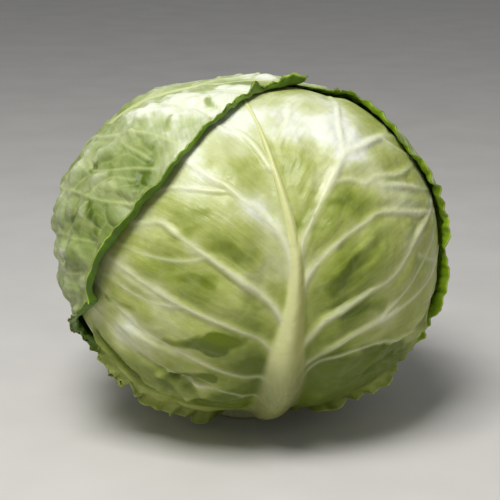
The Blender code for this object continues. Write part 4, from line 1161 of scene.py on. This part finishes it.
# Cut cabbage stalk, a woody fibre round a soft pith: dry and matte, pale in the middle with a
# darker ring where it has dried
def cutStalk():
    material, tree, shader = newMaterial("cut cabbage stalk", {
        "Roughness": 0.72, "Subsurface Weight": 0.08, "Subsurface Radius": (1.0, 0.9, 0.4),
        "Subsurface Scale": 0.002})
    spot = addNode(tree, "ShaderNodeTexCoord", {}).outputs["Object"]
    parts = addNode(tree, "ShaderNodeSeparateXYZ", {0: spot}).outputs
    flatSpot = addNode(tree, "ShaderNodeCombineXYZ", {0: parts[0], 1: parts[1]})
    reach = addNode(tree, "ShaderNodeVectorMath", {0: flatSpot}, operation="LENGTH")
    wobble = addNode(tree, "ShaderNodeTexNoise", {"Vector": spot, "Scale": 1000 / stemSet["wobbleMm"]})
    reach = addNode(tree, "ShaderNodeMath", {0: wobble, 1: 0.003, 2: reach}, operation="MULTIPLY_ADD")
    ring = addNode(tree, "ShaderNodeMapRange", {0: reach, 1: 0.010, 2: 0.0185},
                   interpolation_type="SMOOTHSTEP")
    face = addNode(tree, "ShaderNodeMix", {0: ring, 6: colour("#d9d6b0"), 7: colour("#b4ab74")},
                   data_type="RGBA")
    patches = addNode(tree, "ShaderNodeTexNoise", {"Vector": spot, "Scale": 1000 / stemSet["patchMm"]})
    bark = addNode(tree, "ShaderNodeMix", {0: patches, 6: colour("#a8ab70"), 7: colour("#c4c596")},
                   data_type="RGBA")
    side = addNode(tree, "ShaderNodeMapRange", {0: parts[2], 1: 0.0005, 2: 0.002},
                   interpolation_type="SMOOTHSTEP")
    shade = addNode(tree, "ShaderNodeMix", {0: side, 6: face, 7: bark}, data_type="RGBA")
    fibre = addNode(tree, "ShaderNodeTexVoronoi", {"Vector": spot, "Scale": 1000 / stemSet["fibreMm"]})
    dots = addNode(tree, "ShaderNodeMapRange", {0: fibre, 1: 0.1, 2: 0.5, 3: 0.35, 4: 0.0})
    shade = addNode(tree, "ShaderNodeMix", {0: dots, 6: shade, 7: colour("#9a8f5c")}, data_type="RGBA")
    tree.links.new(shade.outputs[2], shader.inputs["Base Color"])
    relief = addNode(tree, "ShaderNodeMath", {0: fibre, 1: patches}, operation="ADD")
    bump = addNode(tree, "ShaderNodeBump", {"Height": relief, "Strength": 0.5, "Distance": 0.0005})
    tree.links.new(bump.outputs[0], shader.inputs["Normal"])
    return material


def makeStem():
    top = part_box("stem")[1].z
    deselectAll()
    bpy.ops.mesh.primitive_cylinder_add(vertices=stemSet["sides"], radius=1.0, depth=1.0)
    stemObject = bpy.context.object
    stemObject.name = "cutStem"
    bpy.ops.object.mode_set(mode="EDIT")
    bpy.ops.mesh.select_all(action="SELECT")
    bpy.ops.mesh.subdivide(number_cuts=stemSet["cuts"])
    bpy.ops.object.mode_set(mode="OBJECT")
    mesh = stemObject.data
    spots = np.empty(len(mesh.vertices) * 3)
    mesh.vertices.foreach_get("co", spots)
    spots = spots.reshape(-1, 3)
    share = spots[:, 2] + 0.5
    turn = np.arctan2(spots[:, 1], spots[:, 0])
    reach = np.hypot(spots[:, 0], spots[:, 1])
    radius = stemSet["cutRadius"] + (stemSet["topRadius"] - stemSet["cutRadius"]) * share
    # leaf scars swell the side, and nothing stands out beyond the solid
    scars = 0.5 + 0.5 * np.sin(stemSet["scars"] * turn + stemSet["scarTwist"] * share)
    around = np.stack([np.cos(turn) * 0.02, np.sin(turn) * 0.02, share * 0.012], axis=-1)
    radius = radius - stemSet["scarDepth"] * scars * (0.4 + 0.6 * share)
    radius = radius - stemSet["roughDepth"] * (1 + softNoise(around, *stemSet["rough"]))
    low = np.clip(1.0 - share * top / (stemSet["bevel"] * mm), 0.0, 1.0)
    radius = radius - stemSet["bevel"] * (1.0 - np.sqrt(np.maximum(1.0 - low ** 2, 0.0)))
    spots[:, 0] = reach * np.cos(turn) * radius * mm
    spots[:, 1] = reach * np.sin(turn) * radius * mm
    spots[:, 2] = share * top
    mesh.vertices.foreach_set("co", spots.reshape(-1))
    mesh.materials.append(cutStalk())
    bpy.ops.object.shade_smooth_by_angle(angle=math.radians(40))
    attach(stemObject, "root")
    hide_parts("stem")


makeStem()
print("stem made")

# The studio: a pale floor, soft light from above on the left, and the photograph's camera
studio = {"floor": ("#c2bfb9", "#d2cfc9"), "floorCloudMm": 60.0, "world": "#e8ebf0", "worldPower": 0.26,
          "keyAt": (-0.24, -0.48, 1.15), "keySize": 0.55, "keyPower": 16.0,
          "fillAt": (1.0, -0.6, 0.5), "fillSize": 0.9, "fillPower": 0.6}
view = {"elevation": 15.0, "distance": 0.75, "target": (0.0, 0.0, 0.083), "lens": 110.2,
        "shiftX": 0.011, "shiftY": -0.006}


def makeStudio():
    deselectAll()
    bpy.ops.mesh.primitive_plane_add(size=8.0)
    floorObject = bpy.context.object
    floorObject.name = "studioFloor"
    material, tree, shader = newMaterial("matte painted floor", {"Roughness": 0.7})
    spot = addNode(tree, "ShaderNodeTexCoord", {}).outputs["Object"]
    cloud = addNode(tree, "ShaderNodeTexNoise", {"Vector": spot, "Scale": 1000 / studio["floorCloudMm"]})
    deep, pale = studio["floor"]
    shade = addNode(tree, "ShaderNodeMix", {0: cloud, 6: colour(deep), 7: colour(pale)}, data_type="RGBA")
    tree.links.new(shade.outputs[2], shader.inputs["Base Color"])
    floorObject.data.materials.append(material)
    world = bpy.data.worlds.new("studio world")
    world.use_nodes = True
    world.node_tree.nodes["Background"].inputs[0].default_value = colour(studio["world"])
    world.node_tree.nodes["Background"].inputs[1].default_value = studio["worldPower"]
    bpy.context.scene.world = world
    for key in ("key", "fill"):
        bpy.ops.object.light_add(type="AREA", location=studio[key + "At"])
        lamp = bpy.context.object
        lamp.name = key + "Light"
        lamp.data.size = studio[key + "Size"]
        lamp.data.energy = studio[key + "Power"]
        aim = Vector(view["target"]) - Vector(studio[key + "At"])
        lamp.rotation_euler = aim.to_track_quat("-Z", "Y").to_euler()


def makeCamera():
    tilt = math.radians(view["elevation"])
    back = np.array([0.0, -math.cos(tilt), math.sin(tilt)]) * view["distance"]
    bpy.ops.object.camera_add(location=np.array(view["target"]) + back)
    camera = bpy.context.object
    camera.rotation_euler = (math.radians(90.0) - tilt, 0.0, 0.0)
    camera.data.sensor_width = 36.0
    camera.data.lens = view["lens"]
    camera.data.shift_x = view["shiftX"]
    camera.data.shift_y = view["shiftY"]
    camera.data.clip_start = 0.01
    bpy.context.scene.camera = camera


makeStudio()
makeCamera()
bpy.context.scene.view_settings.view_transform = "Standard"
print("studio made")
